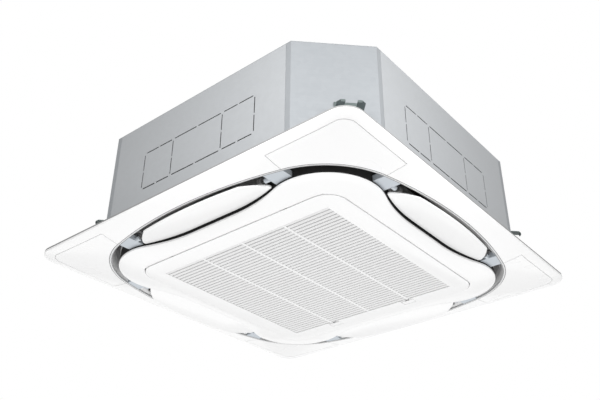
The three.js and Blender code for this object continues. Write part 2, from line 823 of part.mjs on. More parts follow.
function panelPlate() {
  const lipInner = panelHalf - rimLip;
  return ringBody([
    { outline: roundedSquare(panelHalf, panelRadius), z: 0 },
    { outline: roundedSquare(panelHalf, panelRadius), z: rimChamfer - rimHeight },
    { outline: roundedSquare(panelHalf - rimChamfer, panelRadius - rimChamfer), z: -rimHeight },
    { outline: outletLine(0), z: outletZ },
    { outline: outletLine(0), z: trimSeatZ },
    { outline: outletLine(-trimWidth), z: trimSeatZ },
    { outline: ductWallLine(0), z: ductBendZ },
    { outline: roundedSquare(throatHalf, throatRadius), z: ductTop },
    { outline: roundedSquare(throatHalf + ductWall, throatRadius + ductWall), z: ductTop },
    { outline: ductWallLine(ductWall), z: ductBendZ + ductWall },
    { outline: outletLine(-ductWall), z: outletZ + plateThickness },
    { outline: roundedSquare(lipInner, panelRadius - rimLip), z: plateThickness - rimHeight },
    { outline: roundedSquare(lipInner, panelRadius - rimLip), z: 0 },
  ]);
}

// The skin that the corner covers are cut from, thicker above by the clearance when it cuts the plate.
function coverSkin(clearance) {
  const top = coverThickness + clearance;
  return ringBody([
    { outline: roundedSquare(panelHalf, panelRadius), z: top - rimHeight },
    { outline: roundedSquare(panelHalf, panelRadius), z: -rimHeight - clearance },
    { outline: roundedSquare(panelHalf - rimChamfer, panelRadius - rimChamfer), z: -rimHeight - clearance },
    { outline: outletLine(clearance), z: outletZ - clearance },
    { outline: outletLine(clearance), z: outletZ + top },
    { outline: roundedSquare(panelHalf - rimChamfer, panelRadius - rimChamfer), z: top - rimHeight },
  ]);
}

function cornerWindow(grow) {
  const low = coverInner - grow;
  const high = coverOuter + grow;
  const shape = new THREE.Shape()
    .moveTo(low, low)
    .lineTo(high, low)
    .absarc(high - coverRadius, high - coverRadius, coverRadius, 0, QUARTER)
    .lineTo(low, high);
  return prism(shape.getPoints(4), outletZ - 5, 5);
}

function innerFrame() {
  const outer = -sealInset - sealThickness - seat;
  const inner = roundedSquare(seamHalf + 5, seamRadius + 5);
  return ringBody([
    { outline: ringLine(outer), z: frameBackZ },
    { outline: inner, z: frameBackZ },
    { outline: inner, z: frameBackZ + ringWall },
    { outline: ringLine(outer - ringWall), z: frameBackZ + ringWall },
    { outline: ringLine(outer - ringWall), z: ductTop },
    { outline: ringLine(outer), z: ductTop },
  ]);
}

// The space between the two duct walls, reaching a little into both.
function ductSpace() {
  const inner = -sealInset - sealThickness - 1;
  return ringBody([
    { outline: outletLine(-trimWidth - seat), z: armZ - 1 },
    { outline: ringLine(inner), z: armZ - 1 },
    { outline: ringLine(inner), z: ductTop },
    { outline: roundedSquare(throatHalf + 1, throatRadius + 1), z: ductTop },
    { outline: ductWallLine(1), z: ductBendZ },
    { outline: outletLine(1 - trimWidth), z: trimSeatZ },
    { outline: outletLine(-trimWidth - seat), z: trimSeatZ },
  ]);
}

function pivotAt(radius, from, to, sides) {
  return [0, 1, 2, 3].flatMap((turn) => [1, -1].map((sign) =>
    rodY(radius, Math.min(sign * from, sign * to), Math.max(sign * from, sign * to),
      flapAxis, flapAxisZ, sides)
      .rotateZ(turn * QUARTER)));
}

function panelFrame() {
  const arms = sideBlocks(armStart, armEnd, ringHalf - 20, bodyHalf, armZ, armZ + armHeight)
    .map((arm) => common(arm, ductSpace()));
  const pockets = sideBlocks(armStart + armWall, armEnd - armWall, flapAxis - flapMotorRadius - 3,
    flapAxis + flapMotorRadius + 2, pocketZ, armZ + armHeight + 1);
  const bosses = pivotAt(pivotBoss, armStart - pivotBossLength, armStart + armWall / 2, 10);
  const lugs = hingePlaces.flatMap((y) => {
    const [from, to, top] = [y - hingeLug / 2, y + hingeLug / 2, frameBackZ + ringWall];
    return [
      box(-seamHalf - 8, hingeX + hingePost, from, to, frameBackZ, top),
      box(hingeX - hingePost, hingeX + hingePost, from, to, hingeZ, top),
      rodY(knuckleRadius, from, to, hingeX, hingeZ),
    ];
  });
  const holes = [
    ...pivotAt(flapPin + pinClearance, armStart - pivotBossLength - 1, armStart + armWall + 1, 12),
    ...hingePlaces.map((y) => rodY(hingePin + pinClearance, y - hingeLug, y + hingeLug, hingeX, hingeZ)),
  ];
  const windows = [0, 1, 2, 3].map((turn) =>
    common(coverSkin(seat), cornerWindow(0).rotateZ(turn * QUARTER)));
  return cut(join(panelPlate(), innerFrame(), ...arms, ...bosses, ...lugs), ...pockets, ...holes, ...windows);
}

function outletTrim() {
  return ringBody([
    { outline: outletLine(-seat), z: trimSeatZ - seat },
    { outline: outletLine(-seat), z: outletZ },
    { outline: outletLine(-trimWidth / 2), z: outletZ - seat },
    { outline: outletLine(-trimWidth), z: outletZ },
    { outline: outletLine(-trimWidth), z: trimSeatZ - seat },
  ]);
}

function outletSeal() {
  const wall = ringBody([
    { outline: ringLine(-sealInset), z: ductTop },
    { outline: ringLine(-sealInset), z: frameBackZ },
    { outline: ringLine(-sealInset - sealThickness), z: frameBackZ },
    { outline: ringLine(-sealInset - sealThickness), z: ductTop },
  ]);
  return cut(wall, ...sideBlocks(armStart - seat, armEnd + seat, ringHalf - 20, bodyHalf,
    armZ - seat, armZ + armHeight + seat));
}

// The grille at angles on its way down, with its clearance, to make room for its corners.
function grilleSwing() {
  return grilleAngles.map((angle) =>
    prism(roundedSquare(grilleHalf + seat, grilleRadius + seat), grilleZ - seat, grilleZ + grilleThickness)
      .translate(-hingeX, 0, -hingeZ)
      .rotateY(THREE.MathUtils.degToRad(angle))
      .translate(hingeX, 0, hingeZ));
}

function decorRing() {
  const wall = ringWall;
  const backX = seamHalf + wall;
  const ring = ringBody([
    { outline: ringLine(0), z: ringBackZ },
    { outline: ringLine(0), z: ringEdgeZ },
    { outline: roundedSquare(seamHalf + grilleChamfer, seamRadius + grilleChamfer), z: ringInnerZ },
    { outline: roundedSquare(seamHalf, seamRadius), z: ringInnerZ + grilleChamfer },
    { outline: roundedSquare(seamHalf, seamRadius), z: ringBackZ },
    { outline: roundedSquare(backX, seamRadius + wall), z: ringBackZ },
    { outline: roundedSquare(backX, seamRadius + wall), z: ringInnerZ + wall + 1 },
    { outline: ringLine(-wall), z: ringEdgeZ + wall },
    { outline: ringLine(-wall), z: ringBackZ },
  ]);
  const straight = seamHalf - seamRadius;
  const relief = box(-seamHalf - 1, -seamHalf + 1, -straight, straight,
    ringInnerZ + grilleChamfer + 0.5, hingeZ + 4);
  const half = latchTongue[0] / 2 + 1;
  const low = grilleBackZ;
  const high = grilleBackZ + 2 * seat + latchTongue[1];
  const windows = latchPlaces.map((y) =>
    box(seamHalf - 1, seamHalf + wall + 1, y - half, y + half, low, high));
  return cut(ring, relief, ...windows, ...grilleSwing());
}

function cornerCover() {
  return common(coverSkin(0), cut(cornerWindow(-seat), prism(outletLine(0.8), outletZ - 6, 6)));
}

function makePanel() {
  add('panel_frame', panelFrame(), whitePlastic);
  add('outlet_trim', outletTrim(), silverPlastic);
  add('outlet_seal', outletSeal(), blackFoam);
  add('decor_ring', decorRing(), whitePlastic);
  CORNERS.forEach((corner, i) => {
    add(`corner_cover_${corner}`, cornerCover(), whitePlastic, turnedGroup(i * QUARTER));
  });
}

// ---------------------------------------------------------------- flaps
function flapOutline() {
  const hollow = ringHollow - flapInnerGap;
  const tipAngle = Math.PI - Math.asin((flapTip - ringStraight) / hollow);
  const inner = [
    [ringHalf + flapInnerGap, 0], [ringHalf + flapInnerGap, ringStraight],
    ...arc(ringHollowX, ringStraight, hollow, Math.PI, tipAngle, 4),
  ];
  const outerRadius = outletArchRadius - trimWidth - flapOuterGap;
  const leaveAngle = Math.asin(flapLeave / outerRadius);
  const outer = [
    [outletArchX + outerRadius * Math.cos(leaveAngle), flapLeave],
    ...arc(outletArchX, 0, outerRadius, leaveAngle, 0, 5),
  ];
  const tip = inner.at(-1);
  const leave = outer[0];
  const end = new THREE.CubicBezierCurve(
    new THREE.Vector2(...tip), new THREE.Vector2(tip[0] + 2, tip[1] + 15),
    new THREE.Vector2(tip[0] + 24, tip[1] + 1), new THREE.Vector2(...leave),
  ).getPoints(7).slice(1, -1).map((point) => [point.x, point.y]);
  const half = [...inner, ...end, ...outer];
  const other = half.slice(1, -1).map(([x, y]) => [x, -y]).reverse();
  return [...half, ...other].map(([x, y]) => new THREE.Vector2(x - flapAxis, y));
}

function flap() {
  const top = flapThickness - flapDrop;
  const blade = prism(flapOutline(), -flapDrop, top);
  const [lugStart, lugLength, lugHalf] = flapLug;
  const lugEnd = lugStart + lugLength;
  const lugs = [[lugStart, lugEnd], [-lugEnd, -lugStart]].map(([y0, y1]) =>
    box(-lugHalf, lugHalf, y0, y1, top - 1, flapPin + 1.5));
  const farPin = rodY(flapPin, -armStart + armWall, -lugEnd + 1, 0, 0);
  const motorPin = rodY(flapPin, lugEnd - 1, armStart + armWall + 3.5, 0, 0);
  return join(blade, ...lugs, farPin, motorPin);
}

function flapMotor() {
  const from = armStart + armWall + seat;
  const body = rodY(flapMotorRadius, from, from + flapMotorLength, flapAxis, flapAxisZ + flapMotorOffset, 16);
  const bore = rodY(flapPin + pinClearance, from - 1, from + 5, flapAxis, flapAxisZ);
  return cut(body, bore);
}

function makeFlaps() {
  SIDES.forEach((side, i) => {
    const group = turnedGroup(i * QUARTER);
    const mesh = add(`flap_${side}`, flap(), whitePlastic, group);
    mesh.position.copy(flapPlace);
    mesh.rotation.y = THREE.MathUtils.degToRad(flapOpenAtRest - flapClosedTilt);
    add(`flap_motor_${side}`, flapMotor(), whitePlastic, group);
  });
}

// ---------------------------------------------------------------- suction grille
function grilleSlots() {
  const count = Math.floor((2 * meshHalf - slatWidth) / slatPitch);
  const first = -(count * slatPitch) / 2;
  const opening = (slatPitch - slatWidth) / 2;
  return Array.from({ length: count }, (_, i) => {
    const x = first + (i + 0.5) * slatPitch;
    return box(x - opening, x + opening, -meshHalf + 1, meshHalf - 1, grilleZ - 1, grilleBackZ + 1);
  });
}

function latchCuts(y) {
  const [knobX, knobY, knobZ] = latchKnob;
  const [stemX, stemY] = latchStem;
  const outer = grilleHalf - latchInset;
  const recess = box(outer - knobX - latchTravel - 1, outer + 1, y - knobY / 2 - 1, y + knobY / 2 + 1,
    grilleZ - 1, grilleZ + knobZ + 2 * seat);
  const middle = outer - knobX / 2;
  const slot = box(middle - stemX / 2 - latchTravel - 1, middle + stemX / 2 + 1,
    y - stemY / 2 - 1, y + stemY / 2 + 1,
    grilleZ, grilleBackZ + 1);
  return [recess, slot];
}

function suctionGrille() {
  const outline = new THREE.Shape(roundedSquare(grilleHalf, grilleRadius));
  const plate = new THREE.ExtrudeGeometry(outline, {
    depth: grilleThickness - 2 * grilleChamfer,
    bevelThickness: grilleChamfer,
    bevelSize: grilleChamfer,
    bevelOffset: -grilleChamfer,
    bevelSegments: 1,
  }).translate(0, 0, grilleZ + grilleChamfer);
  const ribs = meshRibs.map((y) =>
    box(-meshHalf, meshHalf, y - meshRibWidth / 2, y + meshRibWidth / 2, grilleZ - 2, grilleBackZ + 2));
  const slots = cut(join(...grilleSlots()), ...ribs);
  const recess = box(-meshHalf, meshHalf, -meshHalf, meshHalf, grilleZ - 1, grilleZ + meshRecess);
  const halfLug = hingeLug / 2 + 0.5;
  const notches = hingePlaces.map((y) =>
    box(-grilleHalf - 1, hingeX + knuckleRadius + 1, y - halfLug, y + halfLug, hingeZ - knuckleRadius - 0.5,
      grilleBackZ + 1));
  const knuckles = hingePlaces.flatMap((y) => [-1, 1].map((sign) => {
    const ends = [y + sign * halfLug, y + sign * (halfLug + knuckleLength)].sort((a, b) => a - b);
    return rodY(knuckleRadius, ends[0], ends[1], hingeX, hingeZ);
  }));
  const pins = hingePlaces.map((y) => rodY(hingePin, y - hingeLug, y + hingeLug, hingeX, hingeZ));
  const body = cut(plate, recess, slots, ...notches, ...latchPlaces.flatMap(latchCuts));
  return join(body, ...knuckles, ...pins);
}

function latch(y) {
  const [knobX, knobY, knobZ] = latchKnob;
  const [stemX, stemY] = latchStem;
  const [tongueY, tongueZ] = latchTongue;
  const outer = grilleHalf - latchInset;
  const middle = outer - knobX / 2;
  const tongueBottom = grilleBackZ + seat;
  return join(
    box(outer - knobX, outer, y - knobY / 2, y + knobY / 2, grilleZ + seat, grilleZ + seat + knobZ),
    box(middle - stemX / 2, middle + stemX / 2, y - stemY / 2, y + stemY / 2,
      grilleZ + knobZ, tongueBottom + 1),
    box(middle - stemX / 2, grilleHalf + latchReach, y - tongueY / 2, y + tongueY / 2, tongueBottom,
      tongueBottom + tongueZ),
  );
}

function airFilter() {
  const low = grilleBackZ + seat;
  const high = low + filterHeight;
  const inner = filterHalf - filterFrame;
  const cell = (2 * inner - (filterCells - 1) * filterRib) / filterCells;
  const pockets = [];
  for (let i = 0; i < filterCells; i += 1) {
    for (let j = 0; j < filterCells; j += 1) {
      const x = -inner + i * (cell + filterRib);
      const y = -inner + j * (cell + filterRib);
      pockets.push(box(x, x + cell, y, y + cell, low + filterNet, high + 1));
    }
  }
  return cut(box(-filterHalf, filterHalf, -filterHalf, filterHalf, low, high), ...pockets);
}

function makeGrille() {
  add('suction_grille', suctionGrille(), whitePlastic);
  add('air_filter', airFilter(), greyPlastic);
  latchPlaces.forEach((y, i) => add(`grille_latch_${i + 1}`, latch(y), whitePlastic));
}

makeCasing();
makeFan();
add('bell_mouth', bellMouth(), blackPlastic);
makeControlBox();
makeCooling();
makePanel();
makeFlaps();
makeGrille();

export default unit;
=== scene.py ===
"""Looks for a four-way ceiling cassette unit, seen from below one corner. Sizes are in millimetres."""

from math import asin, atan2, cos, pi, radians, sin

import bmesh
import bpy
from mathutils import Matrix, Vector


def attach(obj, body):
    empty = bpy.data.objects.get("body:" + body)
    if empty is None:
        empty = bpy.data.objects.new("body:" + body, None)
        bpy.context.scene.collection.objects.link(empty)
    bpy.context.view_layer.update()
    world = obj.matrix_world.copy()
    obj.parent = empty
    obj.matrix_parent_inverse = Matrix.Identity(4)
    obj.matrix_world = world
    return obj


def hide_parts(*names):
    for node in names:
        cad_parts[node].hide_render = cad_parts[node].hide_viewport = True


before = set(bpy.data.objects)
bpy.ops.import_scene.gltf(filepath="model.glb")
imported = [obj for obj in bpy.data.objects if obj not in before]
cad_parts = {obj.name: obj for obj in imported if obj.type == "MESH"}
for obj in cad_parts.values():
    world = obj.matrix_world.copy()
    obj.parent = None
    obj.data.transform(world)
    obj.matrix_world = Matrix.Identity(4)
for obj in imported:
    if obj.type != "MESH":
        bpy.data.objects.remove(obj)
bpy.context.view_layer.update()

MM = 0.001
QUARTER = pi / 2
SIDES = ("right", "back", "left", "front")
CORNERS = ("back_right", "back_left", "front_left", "front_right")

# ---------------------------------------------------------------- sizes shared with the solids
SEAT = 0.3
BODY_HALF = 420
SHEET = 1.2

PANEL_HALF = 475
PANEL_RADIUS = 44
RIM_HEIGHT = 10
RIM_LIP = 14
RIM_CHAMFER = 2.5
PLATE = 6.5

OUTLET_HALF = 434.7
OUTLET_CENTRE = 203
OUTLET_RADIUS = 207
OUTLET_Z = -22
TRIM_WIDTH = 6.5
# Places and width of the dark lines drawn on the outlet trim: painted shade along its edges.
TRIM_SHADE_LINES = (0.4, 5.2)
TRIM_SHADE_LINE_WIDTH = 0.9
TRIM_SEAT_Z = OUTLET_Z + 3 + SEAT
THROAT_HALF = 399
THROAT_RADIUS = 195
DUCT_TOP = 4.2
DUCT_WALL = 2.5
DUCT_BEND = 0.62  # share of the way inwards that the outer wall has made at DUCT_BEND_Z
DUCT_BEND_Z = -9

RING_HALF = 339.2
RING_STRAIGHT = 64.6
RING_CENTRE = 241
RING_RADIUS = 129.5
RING_EDGE_Z = -31
RING_BACK_Z = -26.5
RING_INNER_Z = -38.8
RING_WALL = 3
SEAL_INSET = 1
SEAL_THICKNESS = 5
FRAME_BACK_Z = RING_BACK_Z + SEAT

GRILLE_HALF = 301
GRILLE_RADIUS = 50
GRILLE_Z = -40
GRILLE_BACK_Z = -33
SEAM_HALF = GRILLE_HALF + 2
SEAM_RADIUS = GRILLE_RADIUS + 2
# Width of the black band of painted shadow inside the seam round the grille.
SEAM_SHADOW_WIDTH = 1.6
MESH_HALF = 252
SLAT_PITCH = 12
SLAT_WIDTH = 9.4
RIB_PLACES = (-126, 0, 126)
RIB_WIDTH = 6
HINGE_X = -296
HINGE_Z = -33.5
HINGE_PLACES = (-176, 176)
HINGE_PIN = 1.8
KNUCKLE_RADIUS = 4
HINGE_POST = 3
HINGE_LUG = 10
GRILLE_ANGLES = (32, 36, 40, 45)
LATCH_PLACES = (-120, 120)
LATCH_POCKET = 16
LATCH_POCKET_HEIGHT = 2.6

COVER_INNER = 252
COVER_OUTER = 452
COVER_RADIUS = 30
COVER_THICKNESS = 2.5
COVER_WINDOW_GAP = 0.5
COVER_GAP = 0.9

ARM_START = 207
ARM_END = 252
ARM_Z = -21.5
ARM_HEIGHT = 13.5
ARM_WALL = 2

FLAP_AXIS = 385
FLAP_AXIS_Z = -17
FLAP_THICKNESS = 4.5
FLAP_DROP = 9.7
FLAP_TILT = 12.7 - 5.16
FLAP_INNER_GAP = 4.3
FLAP_OUTER_GAP = 1.7
FLAP_TIP = 190
FLAP_LEAVE = 146
FLAP_PIN = 2.5
PIN_HOLE = 2.8
PIVOT_BOSS = 5.5

GASKET_HEIGHT = 5
GASKET_INSET = 0.8

# ---------------------------------------------------------------- outlines
SIDE_STEPS = 14
CORNER_STEPS = 14


def rotated(point, angle):
    x, y = point
    return x * cos(angle) - y * sin(angle), x * sin(angle) + y * cos(angle)


def around(eighth):
    """A full outline from its first eighth, the middle of the right side to the diagonal."""
    quarter = [(x, -y) for x, y in reversed(eighth[1:])] + eighth[:-1]
    return [rotated(point, turn * QUARTER) for turn in range(4) for point in quarter]


def arc(cx, cy, radius, start, end, steps):
    angles = [start + (end - start) * (i + 1) / steps for i in range(steps)]
    return [(cx + radius * cos(angle), cy + radius * sin(angle)) for angle in angles]


def rounded_square(half, radius):
    centre = half - radius
    side = [(half, centre * i / SIDE_STEPS) for i in range(SIDE_STEPS + 1)]
    return around(side + arc(centre, centre, radius, 0, pi / 4, CORNER_STEPS))


OUTLET_ACROSS = OUTLET_CENTRE - OUTLET_HALF
ARCH_RADIUS = (OUTLET_RADIUS ** 2 - OUTLET_ACROSS ** 2 - OUTLET_CENTRE ** 2) / (
    2 * (OUTLET_RADIUS + OUTLET_ACROSS))
ARCH_X = OUTLET_HALF - ARCH_RADIUS


def outlet_line(offset):
    meet = atan2(OUTLET_CENTRE, OUTLET_CENTRE - ARCH_X)
    side = arc(ARCH_X, 0, ARCH_RADIUS + offset, 0, meet, SIDE_STEPS)
    corner = arc(OUTLET_CENTRE, OUTLET_CENTRE, OUTLET_RADIUS + offset, meet, pi / 4, CORNER_STEPS)
    return around([(OUTLET_HALF + offset, 0)] + side + corner)


RING_IN = RING_HALF - RING_CENTRE
HOLLOW_RADIUS = ((RING_STRAIGHT - RING_CENTRE) ** 2 + RING_IN ** 2 - RING_RADIUS ** 2) / (
    2 * (RING_RADIUS - RING_IN))
HOLLOW_X = RING_HALF + HOLLOW_RADIUS
RING_MEET = atan2(RING_CENTRE - RING_STRAIGHT, RING_CENTRE - HOLLOW_X)


def ring_line(offset):
    hollow = arc(HOLLOW_X, RING_STRAIGHT, HOLLOW_RADIUS - offset, pi, RING_MEET, SIDE_STEPS - 1)
    corner = arc(RING_CENTRE, RING_CENTRE, RING_RADIUS + offset, RING_MEET - pi, pi / 4, CORNER_STEPS)
    return around([(RING_HALF + offset, 0), (RING_HALF + offset, RING_STRAIGHT)] + hollow + corner)


def between(outline_a, outline_b, share):
    return [(ax + (bx - ax) * share, ay + (by - ay) * share)
            for (ax, ay), (bx, by) in zip(outline_a, outline_b)]


# ---------------------------------------------------------------- meshes
def outward(bm):
    bmesh.ops.recalc_face_normals(bm, faces=bm.faces)
    return bm


def loop(bm, outline, z):
    verts = [bm.verts.new((x, y, z)) for x, y in outline]
    return [bm.edges.new(pair) for pair in zip(verts, verts[1:] + verts[:1])]


def ring_body(loops):
    """A ring-shaped body: outlines with heights, listed round its section."""
    bm = bmesh.new()
    rings = [loop(bm, outline, z) for outline, z in loops]
    for here, following in zip(rings, rings[1:] + rings[:1]):
        bmesh.ops.bridge_loops(bm, edges=here + following)
    return outward(bm)


def prism(outline, z0, z1):
    bm = bmesh.new()
    edges = loop(bm, outline, z0)
    bmesh.ops.contextual_create(bm, geom=edges)
    raised = bmesh.ops.extrude_face_region(bm, geom=list(bm.faces), use_keep_orig=True)
    verts = [item for item in raised["geom"] if isinstance(item, bmesh.types.BMVert)]
    bmesh.ops.translate(bm, vec=(0, 0, z1 - z0), verts=verts)
    return outward(bm)


def block(x0, x1, y0, y1, z0, z1):
    bm = bmesh.new()
    bmesh.ops.create_cube(bm, size=1)
    bmesh.ops.scale(bm, vec=(x1 - x0, y1 - y0, z1 - z0), verts=bm.verts)
    bmesh.ops.translate(bm, vec=((x0 + x1) / 2, (y0 + y1) / 2, (z0 + z1) / 2), verts=bm.verts)
    return bm


def turned(profile, steps=48):
    """A profile of (radius, z) spun about Z; it starts and ends on the axis, or closes on itself."""
    bm = bmesh.new()
    verts = [bm.verts.new((radius, 0, z)) for radius, z in profile]
    edges = [bm.edges.new(pair) for pair in zip(verts, verts[1:])]
    if profile[0][0] > 0:
        edges.append(bm.edges.new((verts[-1], verts[0])))
    bmesh.ops.spin(bm, geom=verts + edges, cent=(0, 0, 0), axis=(0, 0, 1), angle=2 * pi,
                   steps=steps, use_merge=True)
    bmesh.ops.remove_doubles(bm, verts=bm.verts, dist=1e-3)
    return outward(bm)


def spun(bm, angle, axis="Z", centre=(0, 0, 0)):
    bmesh.ops.rotate(bm, cent=centre, matrix=Matrix.Rotation(angle, 3, axis), verts=bm.verts)
    return bm


def moved(bm, x, y, z):
    bmesh.ops.translate(bm, vec=(x, y, z), verts=bm.verts)
    return bm


def rod_y(radius, y0, y1, x, z, steps=32):
    bm = turned([(0, y0), (radius, y0), (radius, y1), (0, y1)], steps)
    return moved(spun(bm, -QUARTER, "X"), x, 0, z)


def merged(*parts):
    """One mesh of several that stay separate shells."""
    whole = bmesh.new()
    for part in parts:
        mesh = bpy.data.meshes.new("part")
        part.to_mesh(mesh)
        part.free()
        whole.from_mesh(mesh)
        bpy.data.meshes.remove(mesh)
    return whole


def scratch(bm):
    mesh = bpy.data.meshes.new("scratch")
    bm.to_mesh(mesh)
    bm.free()
    thing = bpy.data.objects.new("scratch", mesh)
    bpy.context.scene.collection.objects.link(thing)
    return thing


def combined(operation, body, *tools):
    things = [scratch(bm) for bm in (body, *tools)]
    for tool in things[1:]:
        modifier = things[0].modifiers.new("step", "BOOLEAN")
        modifier.operation = operation
        modifier.solver = "EXACT"
        modifier.object = tool
    bpy.context.view_layer.update()
    depsgraph = bpy.context.evaluated_depsgraph_get()
    result = bmesh.new()
    result.from_object(things[0], depsgraph)
    for thing in things:
        bpy.data.meshes.remove(thing.data)
    return result


def cut(body, *tools):
    return combined("DIFFERENCE", body, *tools)


def common(body, other):
    return combined("INTERSECT", body, other)


def add_piece(name, bm, body, material, replaces=(), smooth=32, edge=0.0, segments=2):
    bmesh.ops.remove_doubles(bm, verts=bm.verts, dist=1e-3)
    bmesh.ops.scale(bm, vec=(MM, MM, MM), verts=bm.verts)
    mesh = bpy.data.meshes.new(name)
    bm.to_mesh(mesh)
    bm.free()
    for polygon in mesh.polygons:
        polygon.use_smooth = True
    mesh.set_sharp_from_angle(angle=radians(smooth))
    thing = bpy.data.objects.new(name, mesh)
    bpy.context.scene.collection.objects.link(thing)
    mesh.materials.append(material)
    if edge:
        bevel = thing.modifiers.new("rounded edges", "BEVEL")
        bevel.width = edge * MM
        bevel.segments = segments
        bevel.limit_method = "ANGLE"
        bevel.angle_limit = radians(smooth)
        bevel.harden_normals = True
    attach(thing, body)
    if replaces:
        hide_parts(*replaces)
    return thing


def node_copy(node):
    """The mesh of a solid, with its loose triangles joined, in millimetres."""
    bm = bmesh.new()
    bm.from_mesh(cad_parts[node].data)
    bmesh.ops.scale(bm, vec=(1 / MM, 1 / MM, 1 / MM), verts=bm.verts)
    bmesh.ops.remove_doubles(bm, verts=bm.verts, dist=1e-3)
    bmesh.ops.dissolve_limit(bm, angle_limit=radians(0.5), verts=bm.verts, edges=bm.edges)
    return bm


# ---------------------------------------------------------------- shader helpers
class Signal:
    """A shader socket that takes part in Python arithmetic."""

    def __init__(self, shader, socket):
        self.shader = shader
        self.socket = socket

    def math(self, operation, *values):
        return self.shader.node("ShaderNodeMath", {"operation": operation}, values)

    def __add__(self, other):
        return self.math("ADD", self, other)

    def __mul__(self, other):
        return self.math("MULTIPLY", self, other)

    def __gt__(self, other):
        return self.math("GREATER_THAN", self, other)

    def __abs__(self):
        return self.math("ABSOLUTE", self)

    __radd__ = __add__


class Finish:
    """A material under construction: one Principled surface and the nodes that feed it."""

    def __init__(self, name, **constants):
        self.material = bpy.data.materials.new(name)
        self.material.use_nodes = True
        self.tree = self.material.node_tree
        self.surface = self.tree.nodes["Principled BSDF"]
        for socket, value in constants.items():
            self.surface.inputs[socket.replace("_", " ")].default_value = value
        self.place = self.node("ShaderNodeTexCoord", {}, (), "Object")

    def node(self, kind, settings, inputs, output=0):
        made = self.tree.nodes.new(kind)
        for key, value in settings.items():
            setattr(made, key, value)
        pairs = inputs.items() if isinstance(inputs, dict) else enumerate(inputs)
        for key, value in pairs:
            self.feed(made.inputs[key], value)
        return Signal(self, made.outputs[output])

    def feed(self, socket, value):
        if isinstance(value, Signal):
            self.tree.links.new(value.socket, socket)
        else:
            socket.default_value = value

    def set(self, socket, value):
        self.feed(self.surface.inputs[socket], value)

    def stretched(self, x, y, z):
        return self.node("ShaderNodeMapping", {}, {"Vector": self.place, "Scale": (x, y, z)})

    def noise(self, scale, detail=2.0, place=None):
        return self.node("ShaderNodeTexNoise", {}, {
            "Vector": place or self.place, "Scale": scale, "Detail": detail}, 0)

    def cells(self, scale):
        return self.node("ShaderNodeTexVoronoi", {}, {"Vector": self.place, "Scale": scale}, "Color")

    def beads(self, scale):
        return self.node("ShaderNodeTexVoronoi", {"feature": "DISTANCE_TO_EDGE"}, {
            "Vector": self.place, "Scale": scale}, "Distance")

    def wave(self, along, frequency):
        return self.node("ShaderNodeMath", {"operation": "SINE"}, (along * frequency,))

    def mix(self, share, colour_a, colour_b):
        return self.node("ShaderNodeMix", {"data_type": "RGBA"}, {0: share, 6: colour_a, 7: colour_b}, 2)

    def axis(self, index):
        return self.node("ShaderNodeSeparateXYZ", {}, {0: self.place}, index)

    def bump(self, height, distance, strength=1.0):
        self.set("Normal", self.node("ShaderNodeBump", {}, {
            "Height": height, "Distance": distance, "Strength": strength}))


def grey(level, blue=0.0):
    return (level, level + blue * 0.5, level + blue, 1)


def tone(red, green, blue):
    return (red, green, blue, 1)


def moulded(name, light, dark, roughness, grain=900.0, coat=0.0):
    """Moulded plastic: faint cloudiness in colour and gloss over a fine spark-eroded grain."""
    finish = Finish(name, Coat_Weight=coat, Coat_Roughness=0.08)
    cloud = finish.noise(7.0, 3.0)
    finish.set("Base Color", finish.mix(cloud, dark, light))
    finish.set("Roughness", cloud * 0.08 + (roughness - 0.04))
    finish.bump(finish.noise(grain, 2.0), 0.00003, 0.5)
    return finish.material


def zinc_sheet(name, light, dark, metallic, roughness):
    """Zinc-coated steel: soft spangle, fine rolling streaks and a slightly uneven sheen."""
    finish = Finish(name, Metallic=metallic)
    spangle = finish.node("ShaderNodeSeparateXYZ", {}, {0: finish.cells(90.0)}, 0)
    streak = finish.noise(14.0, 4.0, finish.stretched(1, 1, 22))
    share = spangle * 0.35 + streak * 0.65
    finish.set("Base Color", finish.mix(share, dark, light))
    finish.set("Roughness", share * 0.16 + (roughness - 0.08))
    finish.bump(streak * 0.6 + finish.noise(6.0, 1.0) * 2.0, 0.0002, 0.35)
    return finish.material


def foam(name, light, dark, beads, depth):
    """Expanded foam: round beads pressed together."""
    finish = Finish(name, Roughness=0.85)
    bead = finish.beads(beads)
    finish.set("Base Color", finish.mix(bead * 3.0, dark, light))
    finish.bump(bead, depth, 0.6)
    return finish.material


def shaded_liner_foam(name):
    """The liner: white beads inside; the sides that lie against the sheet are painted black, as painted shade
    behind the knock-out slots.
    """
    finish = Finish(name, Roughness=0.85)
    bead = finish.beads(260.0)
    across, along = abs(finish.axis(0)), abs(finish.axis(1))
    reach = across.math("MAXIMUM", across, along)
    # Painted shade: near black on the outer sides, so the knock-out slots in the sheet look dark.
    slot_shade = reach > (BODY_HALF - SHEET - SEAT - 0.6) * MM
    beads = finish.mix(bead * 3.0, grey(0.66), grey(0.78))
    finish.set("Base Color", finish.mix(slot_shade, beads, grey(0.02)))
    finish.bump(bead, 0.0006, 0.6)
    return finish.material


def drawn_metal(name, light, dark, roughness, streaks):
    """Drawn or machined metal with fine lines along its length."""
    finish = Finish(name, Metallic=1.0)
    line = finish.noise(streaks, 3.0, finish.stretched(1, 1, 0.06))
    tarnish = finish.noise(25.0, 3.0)
    finish.set("Base Color", finish.mix(tarnish, dark, light))
    finish.set("Roughness", line * 0.15 + tarnish * 0.1 + (roughness - 0.1))
    finish.bump(line, 0.00005, 0.4)
    return finish.material


def fin_block(name):
    """The coil: thin upright fins, with the bends of the copper tubes showing as faint rows."""
    finish = Finish(name, Metallic=0.9)
    flat_place = finish.stretched(1, 1, 0)
    around_z = finish.node("ShaderNodeVectorMath", {"operation": "LENGTH"}, {0: flat_place}, 1)
    across = finish.axis(0) + finish.axis(1) + around_z * 0.2
    fins = finish.wave(across, 2600.0)
    rows = finish.wave(finish.axis(2), 300.0)
    finish.set("Base Color", finish.mix(fins * 0.3 + rows * 0.1 + 0.55, grey(0.32), grey(0.62, 0.01)))
    finish.set("Roughness", 0.42 + fins * 0.06)
    finish.bump(fins, 0.0004, 0.8)
    return finish.material


